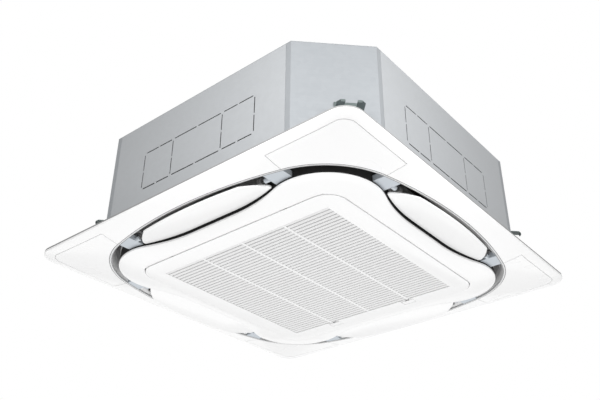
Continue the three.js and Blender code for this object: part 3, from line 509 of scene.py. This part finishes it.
def circuit_green(name):
    """Solder-masked board with straight tracks."""
    finish = Finish(name, Roughness=0.45)
    cell = finish.node("ShaderNodeTexBrick", {}, {
        "Vector": finish.place, "Scale": 60.0, "Mortar Size": 0.06,
        "Color1": tone(0.02, 0.13, 0.06), "Color2": tone(0.03, 0.18, 0.09), "Mortar": tone(0.09, 0.3, 0.15)})
    finish.set("Base Color", cell)
    finish.bump(finish.noise(500.0), 0.0001, 0.4)
    return finish.material


def filter_net(name):
    """A net of fine threads, drawn on the closed sheet that stands for it."""
    finish = Finish(name, Roughness=0.7)
    threads = [finish.wave(finish.axis(i), 3000.0) for i in (0, 1)]
    weave = threads[0] * threads[1]
    finish.set("Base Color", finish.mix(weave * 0.5 + 0.5, grey(0.78), grey(0.88, 0.01)))
    finish.bump(weave, 0.0003, 0.6)
    return finish.material


panel_white = moulded("panel_white", grey(0.90), grey(0.885), 0.30, coat=0.25)
# Bridge arms: white plastic drawn grey-blue, as painted shade of the recess they sit in.
arm_shade_grey = moulded("bridge_arm_shade_grey", grey(0.54, 0.08), grey(0.51, 0.08), 0.45)
# Slats: the grille's white plastic drawn darker, as painted shade between the slats.
slat_shaded_white = moulded("slat_shaded_white", grey(0.775), grey(0.755), 0.5)
pin_grey = moulded("pin_grey", grey(0.10), grey(0.08), 0.5)
rib_white = moulded("rib_white", grey(0.86), grey(0.84), 0.5)
# Near-black band at the grille's seam: painted shadow of the gap.
seam_painted_shadow = moulded("seam_painted_shadow", grey(0.05), grey(0.04), 0.7)
frame_grey = moulded("frame_grey", grey(0.16), grey(0.13), 0.6)
cover_white = moulded("cover_white", grey(0.90), grey(0.885), 0.28, coat=0.25)
inner_white = moulded("inner_white", grey(0.80), grey(0.77), 0.5)
soft_grey = moulded("soft_grey", grey(0.62, 0.02), grey(0.58, 0.02), 0.5)
# Outlet trim: light grey as painted shade on the trim's lip.
trim_shade_grey = moulded("trim_shade_grey", grey(0.70, 0.01), grey(0.66, 0.01), 0.3)
# Dark lines on the outlet trim: painted shade at its edges.
trim_edge_shade = moulded("trim_edge_shade", grey(0.15), grey(0.12), 0.5)
black_plastic = moulded("black_plastic", grey(0.03), grey(0.02), 0.5)
rubber_black = moulded("rubber_black", grey(0.025), grey(0.018), 0.8, grain=500.0)
zinc = zinc_sheet("zinc_sheet", grey(0.42, 0.03), grey(0.38, 0.025), 0.15, 0.5)
# Corner panels: the side panels' zinc drawn darker, a painted-shade copy of the same finish.
zinc_corner_shaded = zinc_sheet("zinc_corner_shaded", grey(0.30, 0.03), grey(0.27, 0.03), 0.15, 0.5)
# Hanger brackets: zinc drawn dark as painted shade on their undersides.
bracket_shade_zinc = zinc_sheet("zinc_bracket_shade", tone(0.17, 0.20, 0.20), tone(0.11, 0.135, 0.13), 0.6, 0.35)
dark_steel = zinc_sheet("painted_steel", grey(0.16), grey(0.13), 0.6, 0.4)
white_foam = foam("white_foam", grey(0.78), grey(0.66), 260.0, 0.0006)
liner_foam = shaded_liner_foam("liner_foam")
# Rim gasket grey: partly the seal's own colour, partly painted shade for the shaded side of the panel's rim.
gasket_shade_grey = foam("gasket_shade_grey", grey(0.34), grey(0.26), 900.0, 0.0004)
black_foam = foam("black_foam", grey(0.022), grey(0.010), 900.0, 0.0004)
copper = drawn_metal("copper_tube", tone(0.72, 0.36, 0.22), tone(0.5, 0.22, 0.12), 0.3, 300.0)
brass = drawn_metal("brass_nut", tone(0.72, 0.55, 0.25), tone(0.55, 0.4, 0.16), 0.3, 400.0)
coil_fins = fin_block("coil_fins")
board = circuit_green("board_green")
net = filter_net("filter_net")


# ---------------------------------------------------------------- the panel
def side_blocks(start, end, x0, x1, z0, z1):
    parts = []
    for turn in range(4):
        for low, high in ((start, end), (-end, -start)):
            parts.append(spun(block(x0, x1, low, high, z0, z1), turn * QUARTER))
    return merged(*parts)


def pivots(radius, start, end):
    parts = []
    for turn in range(4):
        for low, high in ((start, end), (-end, -start)):
            parts.append(spun(rod_y(radius, low, high, FLAP_AXIS, FLAP_AXIS_Z), turn * QUARTER))
    return merged(*parts)


def duct_wall_line(offset):
    return between(outlet_line(offset - TRIM_WIDTH),
                   rounded_square(THROAT_HALF + offset, THROAT_RADIUS + offset), DUCT_BEND)


def plate_body():
    lip = rounded_square(PANEL_HALF - RIM_LIP, PANEL_RADIUS - RIM_LIP)
    rim = rounded_square(PANEL_HALF, PANEL_RADIUS)
    return ring_body([
        (rim, -GASKET_HEIGHT),
        (rim, RIM_CHAMFER - RIM_HEIGHT),
        (rounded_square(PANEL_HALF - RIM_CHAMFER * 0.3, PANEL_RADIUS - RIM_CHAMFER * 0.3),
         RIM_CHAMFER * 0.3 - RIM_HEIGHT),
        (rounded_square(PANEL_HALF - RIM_CHAMFER, PANEL_RADIUS - RIM_CHAMFER), -RIM_HEIGHT),
        (outlet_line(0), OUTLET_Z),
        (outlet_line(0), TRIM_SEAT_Z),
        (outlet_line(-TRIM_WIDTH), TRIM_SEAT_Z),
        (between(outlet_line(-TRIM_WIDTH), duct_wall_line(0), 0.5), TRIM_SEAT_Z * 0.45 + DUCT_BEND_Z * 0.55),
        (duct_wall_line(0), DUCT_BEND_Z),
        (rounded_square(THROAT_HALF, THROAT_RADIUS), DUCT_TOP),
        (rounded_square(THROAT_HALF + DUCT_WALL, THROAT_RADIUS + DUCT_WALL), DUCT_TOP),
        (duct_wall_line(DUCT_WALL), DUCT_BEND_Z + DUCT_WALL),
        (outlet_line(-DUCT_WALL), OUTLET_Z + PLATE),
        (lip, PLATE - RIM_HEIGHT),
        (lip, -GASKET_HEIGHT),
    ])


def gasket():
    """The foam strip on the panel's rim that closes it against the ceiling; its grey is partly a real seal's
    colour and partly painted shade on the rim's side.
    """
    outer = rounded_square(PANEL_HALF - GASKET_INSET, PANEL_RADIUS - GASKET_INSET)
    inner = rounded_square(PANEL_HALF - RIM_LIP, PANEL_RADIUS - RIM_LIP)
    return cut(prism(outer, -GASKET_HEIGHT, 0), prism(inner, -GASKET_HEIGHT - 1, 1))


def cover_skin(clearance):
    """The panel's skin that the corner covers are cut from."""
    top = COVER_THICKNESS + clearance
    edge = rounded_square(PANEL_HALF - RIM_CHAMFER, PANEL_RADIUS - RIM_CHAMFER)
    return ring_body([
        (edge, top - RIM_HEIGHT),
        (edge, -RIM_HEIGHT - clearance),
        (outlet_line(clearance), OUTLET_Z - clearance),
        (outlet_line(clearance), OUTLET_Z + top),
    ])


def window(grow, turn):
    low = COVER_INNER - grow
    high = COVER_OUTER + grow
    centre = high - COVER_RADIUS
    outline = [(low, low), (high, low)] + arc(centre, centre, COVER_RADIUS, 0, QUARTER, 12) + [(low, high)]
    return spun(prism(outline, OUTLET_Z - 5, 5), turn * QUARTER)


def make_plate():
    windows = common(cover_skin(SEAT), merged(*[window(COVER_WINDOW_GAP, turn) for turn in range(4)]))
    plate = cut(plate_body(), windows)
    add_piece("panel_plate", plate, "cassette", panel_white, ["panel_frame"], edge=0.5)
    add_piece("rim_gasket", gasket(), "cassette", gasket_shade_grey, [], edge=0.5)
    for turn, corner in enumerate(CORNERS):
        outside = prism(outlet_line(0.5), OUTLET_Z - 6, 6)
        cover = cut(common(cover_skin(0), window(-COVER_GAP, turn)), outside)
        add_piece("cover_" + corner, cover, "cover_%s_body" % corner, cover_white,
                  ["corner_cover_" + corner], edge=0.4)


def make_trim():
    outer = outlet_line(-SEAT)
    middle = -TRIM_WIDTH / 2
    inner = outlet_line(-TRIM_WIDTH)
    back = TRIM_SEAT_Z - SEAT
    trim = ring_body([
        (outer, back), (outer, OUTLET_Z),
        (outlet_line(-1.3), OUTLET_Z - 0.25), (outlet_line(-2.1), OUTLET_Z + 0.4),
        (outlet_line(middle - 1.1), OUTLET_Z + 0.5), (outlet_line(middle - 2.0), OUTLET_Z - 0.2),
        (inner, OUTLET_Z + 0.2), (inner, back),
    ])
    # The trim's grey is painted shade.
    add_piece("outlet_line", trim, "cassette", trim_shade_grey, ["outlet_trim"], smooth=50)
    # Thin dark strips laid on the trim: painted shade that draws its two edges as lines.
    lines = []
    for start in TRIM_SHADE_LINES:
        outer = outlet_line(-start)
        inner = outlet_line(-start - TRIM_SHADE_LINE_WIDTH)
        lines.append(ring_body([(outer, OUTLET_Z + 0.6), (outer, OUTLET_Z - 0.3),
                                (inner, OUTLET_Z - 0.3), (inner, OUTLET_Z + 0.6)]))
    add_piece("outlet_edge_shade_lines", merged(*lines), "cassette", trim_edge_shade, [])


def duct_space():
    inner = -SEAL_INSET - SEAL_THICKNESS - 1
    return ring_body([
        (outlet_line(-TRIM_WIDTH - SEAT), ARM_Z - 1),
        (ring_line(inner), ARM_Z - 1),
        (ring_line(inner), DUCT_TOP),
        (rounded_square(THROAT_HALF + 0.4, THROAT_RADIUS + 0.4), DUCT_TOP),
        (duct_wall_line(0.4), DUCT_BEND_Z),
        (outlet_line(0.4 - TRIM_WIDTH), TRIM_SEAT_Z),
        (outlet_line(-TRIM_WIDTH - SEAT), TRIM_SEAT_Z),
    ])


def make_bridge_frame():
    arms = common(side_blocks(ARM_START, ARM_END, RING_HALF - 20, BODY_HALF, ARM_Z, ARM_Z + ARM_HEIGHT),
                  duct_space())
    arms = combined("UNION", arms, pivots(PIVOT_BOSS, ARM_START - 13, ARM_START + ARM_WALL / 2))
    pockets = side_blocks(ARM_START + ARM_WALL, ARM_END - ARM_WALL, FLAP_AXIS - 13, FLAP_AXIS + 12,
                          ARM_Z + ARM_WALL, ARM_Z + ARM_HEIGHT + 1)
    holes = pivots(PIN_HOLE, ARM_START - 14, ARM_START + ARM_WALL + 1)
    arms = cut(arms, pockets, holes)
    # The arms' grey-blue is painted shade.
    add_piece("bridge_arms", arms, "cassette", arm_shade_grey, [], edge=0.5)

    outer = -SEAL_INSET - SEAL_THICKNESS - SEAT
    inner = rounded_square(SEAM_HALF + 5, SEAM_RADIUS + 5)
    top = FRAME_BACK_Z + RING_WALL
    frame_ring = ring_body([
        (ring_line(outer), FRAME_BACK_Z), (inner, FRAME_BACK_Z), (inner, top),
        (ring_line(outer - RING_WALL), top), (ring_line(outer - RING_WALL), DUCT_TOP),
        (ring_line(outer), DUCT_TOP),
    ])
    lugs = []
    for y in HINGE_PLACES:
        low, high = y - HINGE_LUG / 2, y + HINGE_LUG / 2
        post_end = HINGE_X + HINGE_POST
        lugs.append(block(-SEAM_HALF - 8, post_end, low, high, FRAME_BACK_Z, top))
        lugs.append(block(HINGE_X - HINGE_POST, post_end, low, high, HINGE_Z, top - 0.5))
        lugs.append(rod_y(KNUCKLE_RADIUS, low, high, HINGE_X, HINGE_Z))
    add_piece("inner_frame", merged(frame_ring, *lugs), "cassette", frame_grey, [])


def make_seal():
    outer = ring_line(-SEAL_INSET)
    inner = ring_line(-SEAL_INSET - SEAL_THICKNESS)
    wall = ring_body([
        (outer, DUCT_TOP), (outer, FRAME_BACK_Z), (inner, FRAME_BACK_Z), (inner, DUCT_TOP),
    ])
    gaps = side_blocks(ARM_START - SEAT, ARM_END + SEAT, RING_HALF - 20, BODY_HALF,
                       ARM_Z - SEAT, ARM_Z + ARM_HEIGHT + SEAT)
    add_piece("duct_inner_wall", cut(wall, gaps), "cassette", black_foam, ["outlet_seal"])


def latch_pockets(start, end):
    return [block(SEAM_HALF + start, SEAM_HALF + end, y - LATCH_POCKET / 2, y + LATCH_POCKET / 2,
                  GRILLE_BACK_Z, GRILLE_BACK_Z + LATCH_POCKET_HEIGHT)
            for y in LATCH_PLACES]


def make_ring():
    wall = RING_WALL
    seam = rounded_square(SEAM_HALF, SEAM_RADIUS)
    face = rounded_square(SEAM_HALF + 0.8, SEAM_RADIUS + 0.8)
    edge = ring_line(0)
    ring = ring_body([
        (edge, RING_BACK_Z), (edge, RING_EDGE_Z + 1.2), (ring_line(-0.4), RING_EDGE_Z + 0.35),
        (ring_line(-1.4), RING_EDGE_Z - 0.1),
        (between(edge, face, 0.35), RING_EDGE_Z * 0.60 + RING_INNER_Z * 0.40),
        (between(edge, face, 0.7), RING_EDGE_Z * 0.25 + RING_INNER_Z * 0.75),
        (face, RING_INNER_Z), (rounded_square(SEAM_HALF + 0.2, SEAM_RADIUS + 0.2), RING_INNER_Z + 0.1),
        (seam, RING_INNER_Z + 0.4), (seam, RING_BACK_Z),
        (rounded_square(SEAM_HALF + wall, SEAM_RADIUS + wall), RING_BACK_Z),
        (rounded_square(SEAM_HALF + wall, SEAM_RADIUS + wall), RING_INNER_Z + wall + 1),
        (ring_line(-wall), RING_EDGE_Z + wall), (ring_line(-wall), RING_BACK_Z),
    ])
    straight = SEAM_HALF - SEAM_RADIUS
    relief = block(-SEAM_HALF - 1, -SEAM_HALF + 1, -straight, straight, RING_INNER_Z + 2.5, HINGE_Z + 4)
    pockets = latch_pockets(-1, wall + 1)
    grille_outline = rounded_square(GRILLE_HALF + SEAT, GRILLE_RADIUS + SEAT)
    for angle in GRILLE_ANGLES:
        swinging = prism(grille_outline, GRILLE_Z - SEAT, GRILLE_BACK_Z)
        pockets.append(spun(swinging, radians(angle), "Y", (HINGE_X, 0, HINGE_Z)))
    add_piece("decor_ring_shell", cut(ring, relief, *pockets), "cassette", panel_white,
              ["decor_ring"], smooth=40)
    # Painted shadow: a black band just inside the ring's seam stands for the shade in the gap round the
    # grille; it covers only the +x and +y sides and is cut back at the latches.
    shadow_band = ring_body([(rounded_square(SEAM_HALF - width, SEAM_RADIUS - width), z)
                        for width, z in ((0.05, RING_INNER_Z + 0.5), (0.05, RING_BACK_Z),
                                         (SEAM_SHADOW_WIDTH, RING_BACK_Z), (SEAM_SHADOW_WIDTH, RING_INNER_Z + 0.3))])
    away_from_hinge = block(-straight, SEAM_HALF + 1, -straight, SEAM_HALF + 1, RING_INNER_Z, 0)
    add_piece("seam_shadow_band", cut(common(shadow_band, away_from_hinge), *latch_pockets(-2, 1)), "cassette",
              seam_painted_shadow, [])


def level_edges(bm, below):
    """The edges that lie level, with both ends under a height."""
    ends = [(edge, edge.verts[0].co.z, edge.verts[1].co.z) for edge in bm.edges]
    return [edge for edge, first, second in ends if abs(first - second) < 0.1 and first < below]


# ---------------------------------------------------------------- flaps
def flap_outline():
    hollow = HOLLOW_RADIUS - FLAP_INNER_GAP
    tip_angle = pi - asin((FLAP_TIP - RING_STRAIGHT) / hollow)
    inner = [(RING_HALF + FLAP_INNER_GAP, 0), (RING_HALF + FLAP_INNER_GAP, RING_STRAIGHT)]
    inner += arc(HOLLOW_X, RING_STRAIGHT, hollow, pi, tip_angle, 14)
    radius = ARCH_RADIUS - TRIM_WIDTH - FLAP_OUTER_GAP
    leave_angle = asin(FLAP_LEAVE / radius)
    outer = [(ARCH_X + radius * cos(leave_angle), FLAP_LEAVE)] + arc(ARCH_X, 0, radius, leave_angle, 0, 16)
    (tx, ty), (lx, ly) = inner[-1], outer[0]
    handles = ((tx, ty), (tx + 2, ty + 15), (tx + 24, ty + 1), (lx, ly))
    end = []
    for i in range(1, 16):
        t = i / 16
        weights = ((1 - t) ** 3, 3 * t * (1 - t) ** 2, 3 * t * t * (1 - t), t ** 3)
        end.append(tuple(sum(w * point[k] for w, point in zip(weights, handles)) for k in (0, 1)))
    half = inner + end + outer
    other = [(x, -y) for x, y in reversed(half[1:-1])]
    return [(x - FLAP_AXIS, y) for x, y in half + other]


def swung(bm, turn):
    """A flap's piece turned to its angle at rest and carried to its side."""
    spun(bm, radians(FLAP_TILT), "Y")
    moved(bm, FLAP_AXIS, 0, FLAP_AXIS_Z)
    return spun(bm, turn * QUARTER)


def make_flaps():
    outline = flap_outline()
    top = FLAP_THICKNESS - FLAP_DROP
    for turn, side in enumerate(SIDES):
        blade = prism(outline, -FLAP_DROP, top)
        bmesh.ops.bevel(blade, geom=level_edges(blade, top + 1), offset=1.0, affect="EDGES", segments=3,
                        profile=0.5, material=-1)
        lugs = [block(-8, 8, y0, y1, top - 0.5, FLAP_PIN + 1.5) for y0, y1 in ((178, 188), (-188, -178))]
        pins = [rod_y(FLAP_PIN, 187, 212.5, 0, 0), rod_y(FLAP_PIN, -205, -187, 0, 0)]
        body = "flap_%s_body" % side
        add_piece("flap_blade_" + side, swung(blade, turn), body, panel_white, ["flap_" + side])
        add_piece("flap_pins_" + side, swung(merged(*lugs, *pins), turn), body, pin_grey, [],
                  edge=0.4)


# ---------------------------------------------------------------- suction grille
def make_grille():
    outline = rounded_square(GRILLE_HALF, GRILLE_RADIUS)
    seat = [rotated((MESH_HALF, -MESH_HALF), turn * QUARTER) for turn in range(4)]
    plate = prism(outline, GRILLE_Z, GRILLE_BACK_Z)
    bmesh.ops.bevel(plate, geom=level_edges(plate, GRILLE_Z + 4), offset=0.8, affect="EDGES", segments=3,
                    profile=0.5, material=-1)
    tools = [prism(seat, GRILLE_Z - 1, GRILLE_BACK_Z + 1)]
    notch = HINGE_LUG / 2 + 0.5
    for y in HINGE_PLACES:
        tools.append(block(-GRILLE_HALF - 1, HINGE_X + KNUCKLE_RADIUS + 1, y - notch, y + notch,
                           HINGE_Z - KNUCKLE_RADIUS - 0.5, GRILLE_BACK_Z + 1))
    for y in LATCH_PLACES:
        tools.append(block(253, 278, y - 18, y + 18, GRILLE_Z - 1, GRILLE_Z + 2.6))
        tools.append(block(258.5, 272.5, y - 6, y + 6, GRILLE_Z, GRILLE_BACK_Z + 1))
    plate = cut(plate, *tools)
    hinge = []
    for y in HINGE_PLACES:
        hinge.append(rod_y(HINGE_PIN, y - HINGE_LUG, y + HINGE_LUG, HINGE_X, HINGE_Z))
        for low, high in ((y - 13.5, y - notch), (y + notch, y + 13.5)):
            hinge.append(rod_y(KNUCKLE_RADIUS, low, high, HINGE_X, HINGE_Z))
    add_piece("grille_surround", merged(plate, *hinge), "grille_door", panel_white,
              ["suction_grille"], edge=0.3)

    count = int(2 * MESH_HALF / SLAT_PITCH)
    slats = [slat((i - (count - 1) / 2) * SLAT_PITCH) for i in range(count)]
    add_piece("grille_slats", merged(*slats), "grille_door", slat_shaded_white, [])
    ribs = [block(-MESH_HALF, MESH_HALF, y - RIB_WIDTH / 2, y + RIB_WIDTH / 2,
                  GRILLE_Z + 1.0, GRILLE_BACK_Z - 0.5)
            for y in RIB_PLACES]
    add_piece("grille_ribs", merged(*ribs), "grille_door", rib_white, [], edge=0.4)


def slat(x):
    bar = block(x - SLAT_WIDTH / 2, x + SLAT_WIDTH / 2, -MESH_HALF, MESH_HALF,
                GRILLE_Z + 1.5, GRILLE_BACK_Z - 1)
    lower = [edge for edge in level_edges(bar, GRILLE_Z + 3)
             if abs(edge.verts[0].co.y - edge.verts[1].co.y) > 1]
    bmesh.ops.bevel(bar, geom=lower, offset=1.2, affect="EDGES", segments=2, profile=0.5, material=-1)
    return bar


# ---------------------------------------------------------------- casing
def soften(name, node, material, edge, body="cassette"):
    add_piece(name, node_copy(node), body, material, [node], smooth=25, edge=edge)


def make_casing():
    for side in SIDES:
        soften("casing_side_" + side, "side_panel_" + side, zinc, 0.3)
    for corner in CORNERS:
        # The corner panels' darker zinc is painted shade.
        soften("casing_corner_" + corner, "corner_panel_" + corner, zinc_corner_shaded, 0.5)
        # The brackets' dark zinc is painted shade.
        soften("hanger_" + corner, "hanger_bracket_" + corner, bracket_shade_zinc, 0.7)


make_plate()
make_trim()
make_bridge_frame()
make_seal()
make_ring()
make_flaps()
make_grille()
make_casing()

# ---------------------------------------------------------------- finishes of the solids that stay
STAYING = {
    "top_plate": zinc, "insulation_liner": liner_foam, "fan_motor": dark_steel, "fan_shaft": dark_steel,
    "turbo_fan": inner_white, "fan_nut": brass, "bell_mouth": black_plastic, "control_box": zinc,
    "control_box_lid": zinc, "circuit_board": board, "terminal_block": black_plastic, "drain_pan": white_foam,
    "heat_exchanger": coil_fins, "coil_end_plate": zinc, "gas_header": copper, "liquid_header": copper,
    "gas_pipe": copper, "liquid_pipe": copper, "gas_flare_nut": brass, "liquid_flare_nut": brass,
    "drain_socket": soft_grey, "drain_pump": soft_grey, "float_switch": inner_white, "drain_hose": soft_grey,
    "cable_grommet": rubber_black, "air_filter": net,
    "grille_latch_1": panel_white, "grille_latch_2": panel_white,
    "motor_bush_1": rubber_black, "motor_bush_2": rubber_black, "motor_bush_3": rubber_black,
    "flap_motor_right": inner_white, "flap_motor_back": inner_white, "flap_motor_left": inner_white,
    "flap_motor_front": inner_white,
}
for node, material in STAYING.items():
    for material_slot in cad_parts[node].material_slots:
        material_slot.material = material

# ---------------------------------------------------------------- camera, light and backdrop
CAMERA_AT = (-1.3764, -1.1096, -0.8827)
AZIMUTH = radians(-50.31)
ELEVATION = radians(-31.34)
ROLL = radians(0.3496)
LENS = 46.84


def make_camera():
    back = Vector((sin(AZIMUTH) * cos(ELEVATION), -cos(AZIMUTH) * cos(ELEVATION), sin(ELEVATION)))
    right = (-back).cross(Vector((0, 0, 1))).normalized()
    up = right.cross(-back)
    turned_right = right * cos(ROLL) + up * sin(ROLL)
    turned_up = up * cos(ROLL) - right * sin(ROLL)
    camera = bpy.data.objects.new("camera", bpy.data.cameras.new("camera"))
    camera.data.lens = LENS
    camera.data.sensor_width = 36
    camera.data.clip_start = 0.05
    axes = Matrix((turned_right, turned_up, back)).transposed()
    camera.matrix_world = Matrix.Translation(CAMERA_AT) @ axes.to_4x4()
    bpy.context.scene.collection.objects.link(camera)
    bpy.context.scene.camera = camera


def add_lamp(name, place, target, size, power):
    lamp = bpy.data.lights.new(name, "AREA")
    lamp.size = size
    lamp.energy = power
    thing = bpy.data.objects.new(name, lamp)
    thing.location = place
    thing.rotation_euler = (Vector(target) - Vector(place)).to_track_quat("-Z", "Y").to_euler()
    bpy.context.scene.collection.objects.link(thing)


def seen_directly(tree):
    """1 for camera, mirror and see-through rays, 0 for light on the object."""
    path = tree.nodes.new("ShaderNodeLightPath")
    total = path.outputs["Is Camera Ray"]
    for name in ("Is Glossy Ray", "Is Transmission Ray"):
        add = tree.nodes.new("ShaderNodeMath")
        add.operation = "MAXIMUM"
        tree.links.new(total, add.inputs[0])
        tree.links.new(path.outputs[name], add.inputs[1])
        total = add.outputs[0]
    return total


def make_world(ambient):
    world = bpy.data.worlds.new("studio")
    bpy.context.scene.world = world
    world.use_nodes = True
    tree = world.node_tree
    backdrop = tree.nodes["Background"]
    backdrop.inputs["Color"].default_value = (1, 1, 1, 1)
    strength = tree.nodes.new("ShaderNodeMapRange")
    tree.links.new(seen_directly(tree), strength.inputs["Value"])
    strength.inputs["To Min"].default_value = ambient
    strength.inputs["To Max"].default_value = 1.0
    tree.links.new(strength.outputs["Result"], backdrop.inputs["Strength"])


def make_floor():
    bm = bmesh.new()
    bmesh.ops.create_grid(bm, x_segments=1, y_segments=1, size=12)
    mesh = bpy.data.meshes.new("floor")
    bm.to_mesh(mesh)
    bm.free()
    floor = bpy.data.objects.new("floor", mesh)
    mesh.transform(Matrix.Translation((0, 0, -3)))
    bpy.context.scene.collection.objects.link(floor)
    material = bpy.data.materials.new("floor")
    material.use_nodes = True
    tree = material.node_tree
    tree.nodes["Principled BSDF"].inputs["Base Color"].default_value = (0.85, 0.85, 0.85, 1)
    tree.nodes["Principled BSDF"].inputs["Roughness"].default_value = 0.9
    mesh.materials.append(material)


make_camera()
make_world(0.42)
make_floor()
add_lamp("near_left", (-1.15, -0.50, 0.12), (-0.42, -0.25, 0.15), 0.35, 7.0)
add_lamp("near_right", (-0.50, -1.15, 0.12), (-0.25, -0.42, 0.15), 0.35, 7.0)
add_lamp("under", (0.3, 0.3, -2.2), (0, 0, 0), 5.5, 102)
bpy.context.scene.view_settings.view_transform = "Standard"
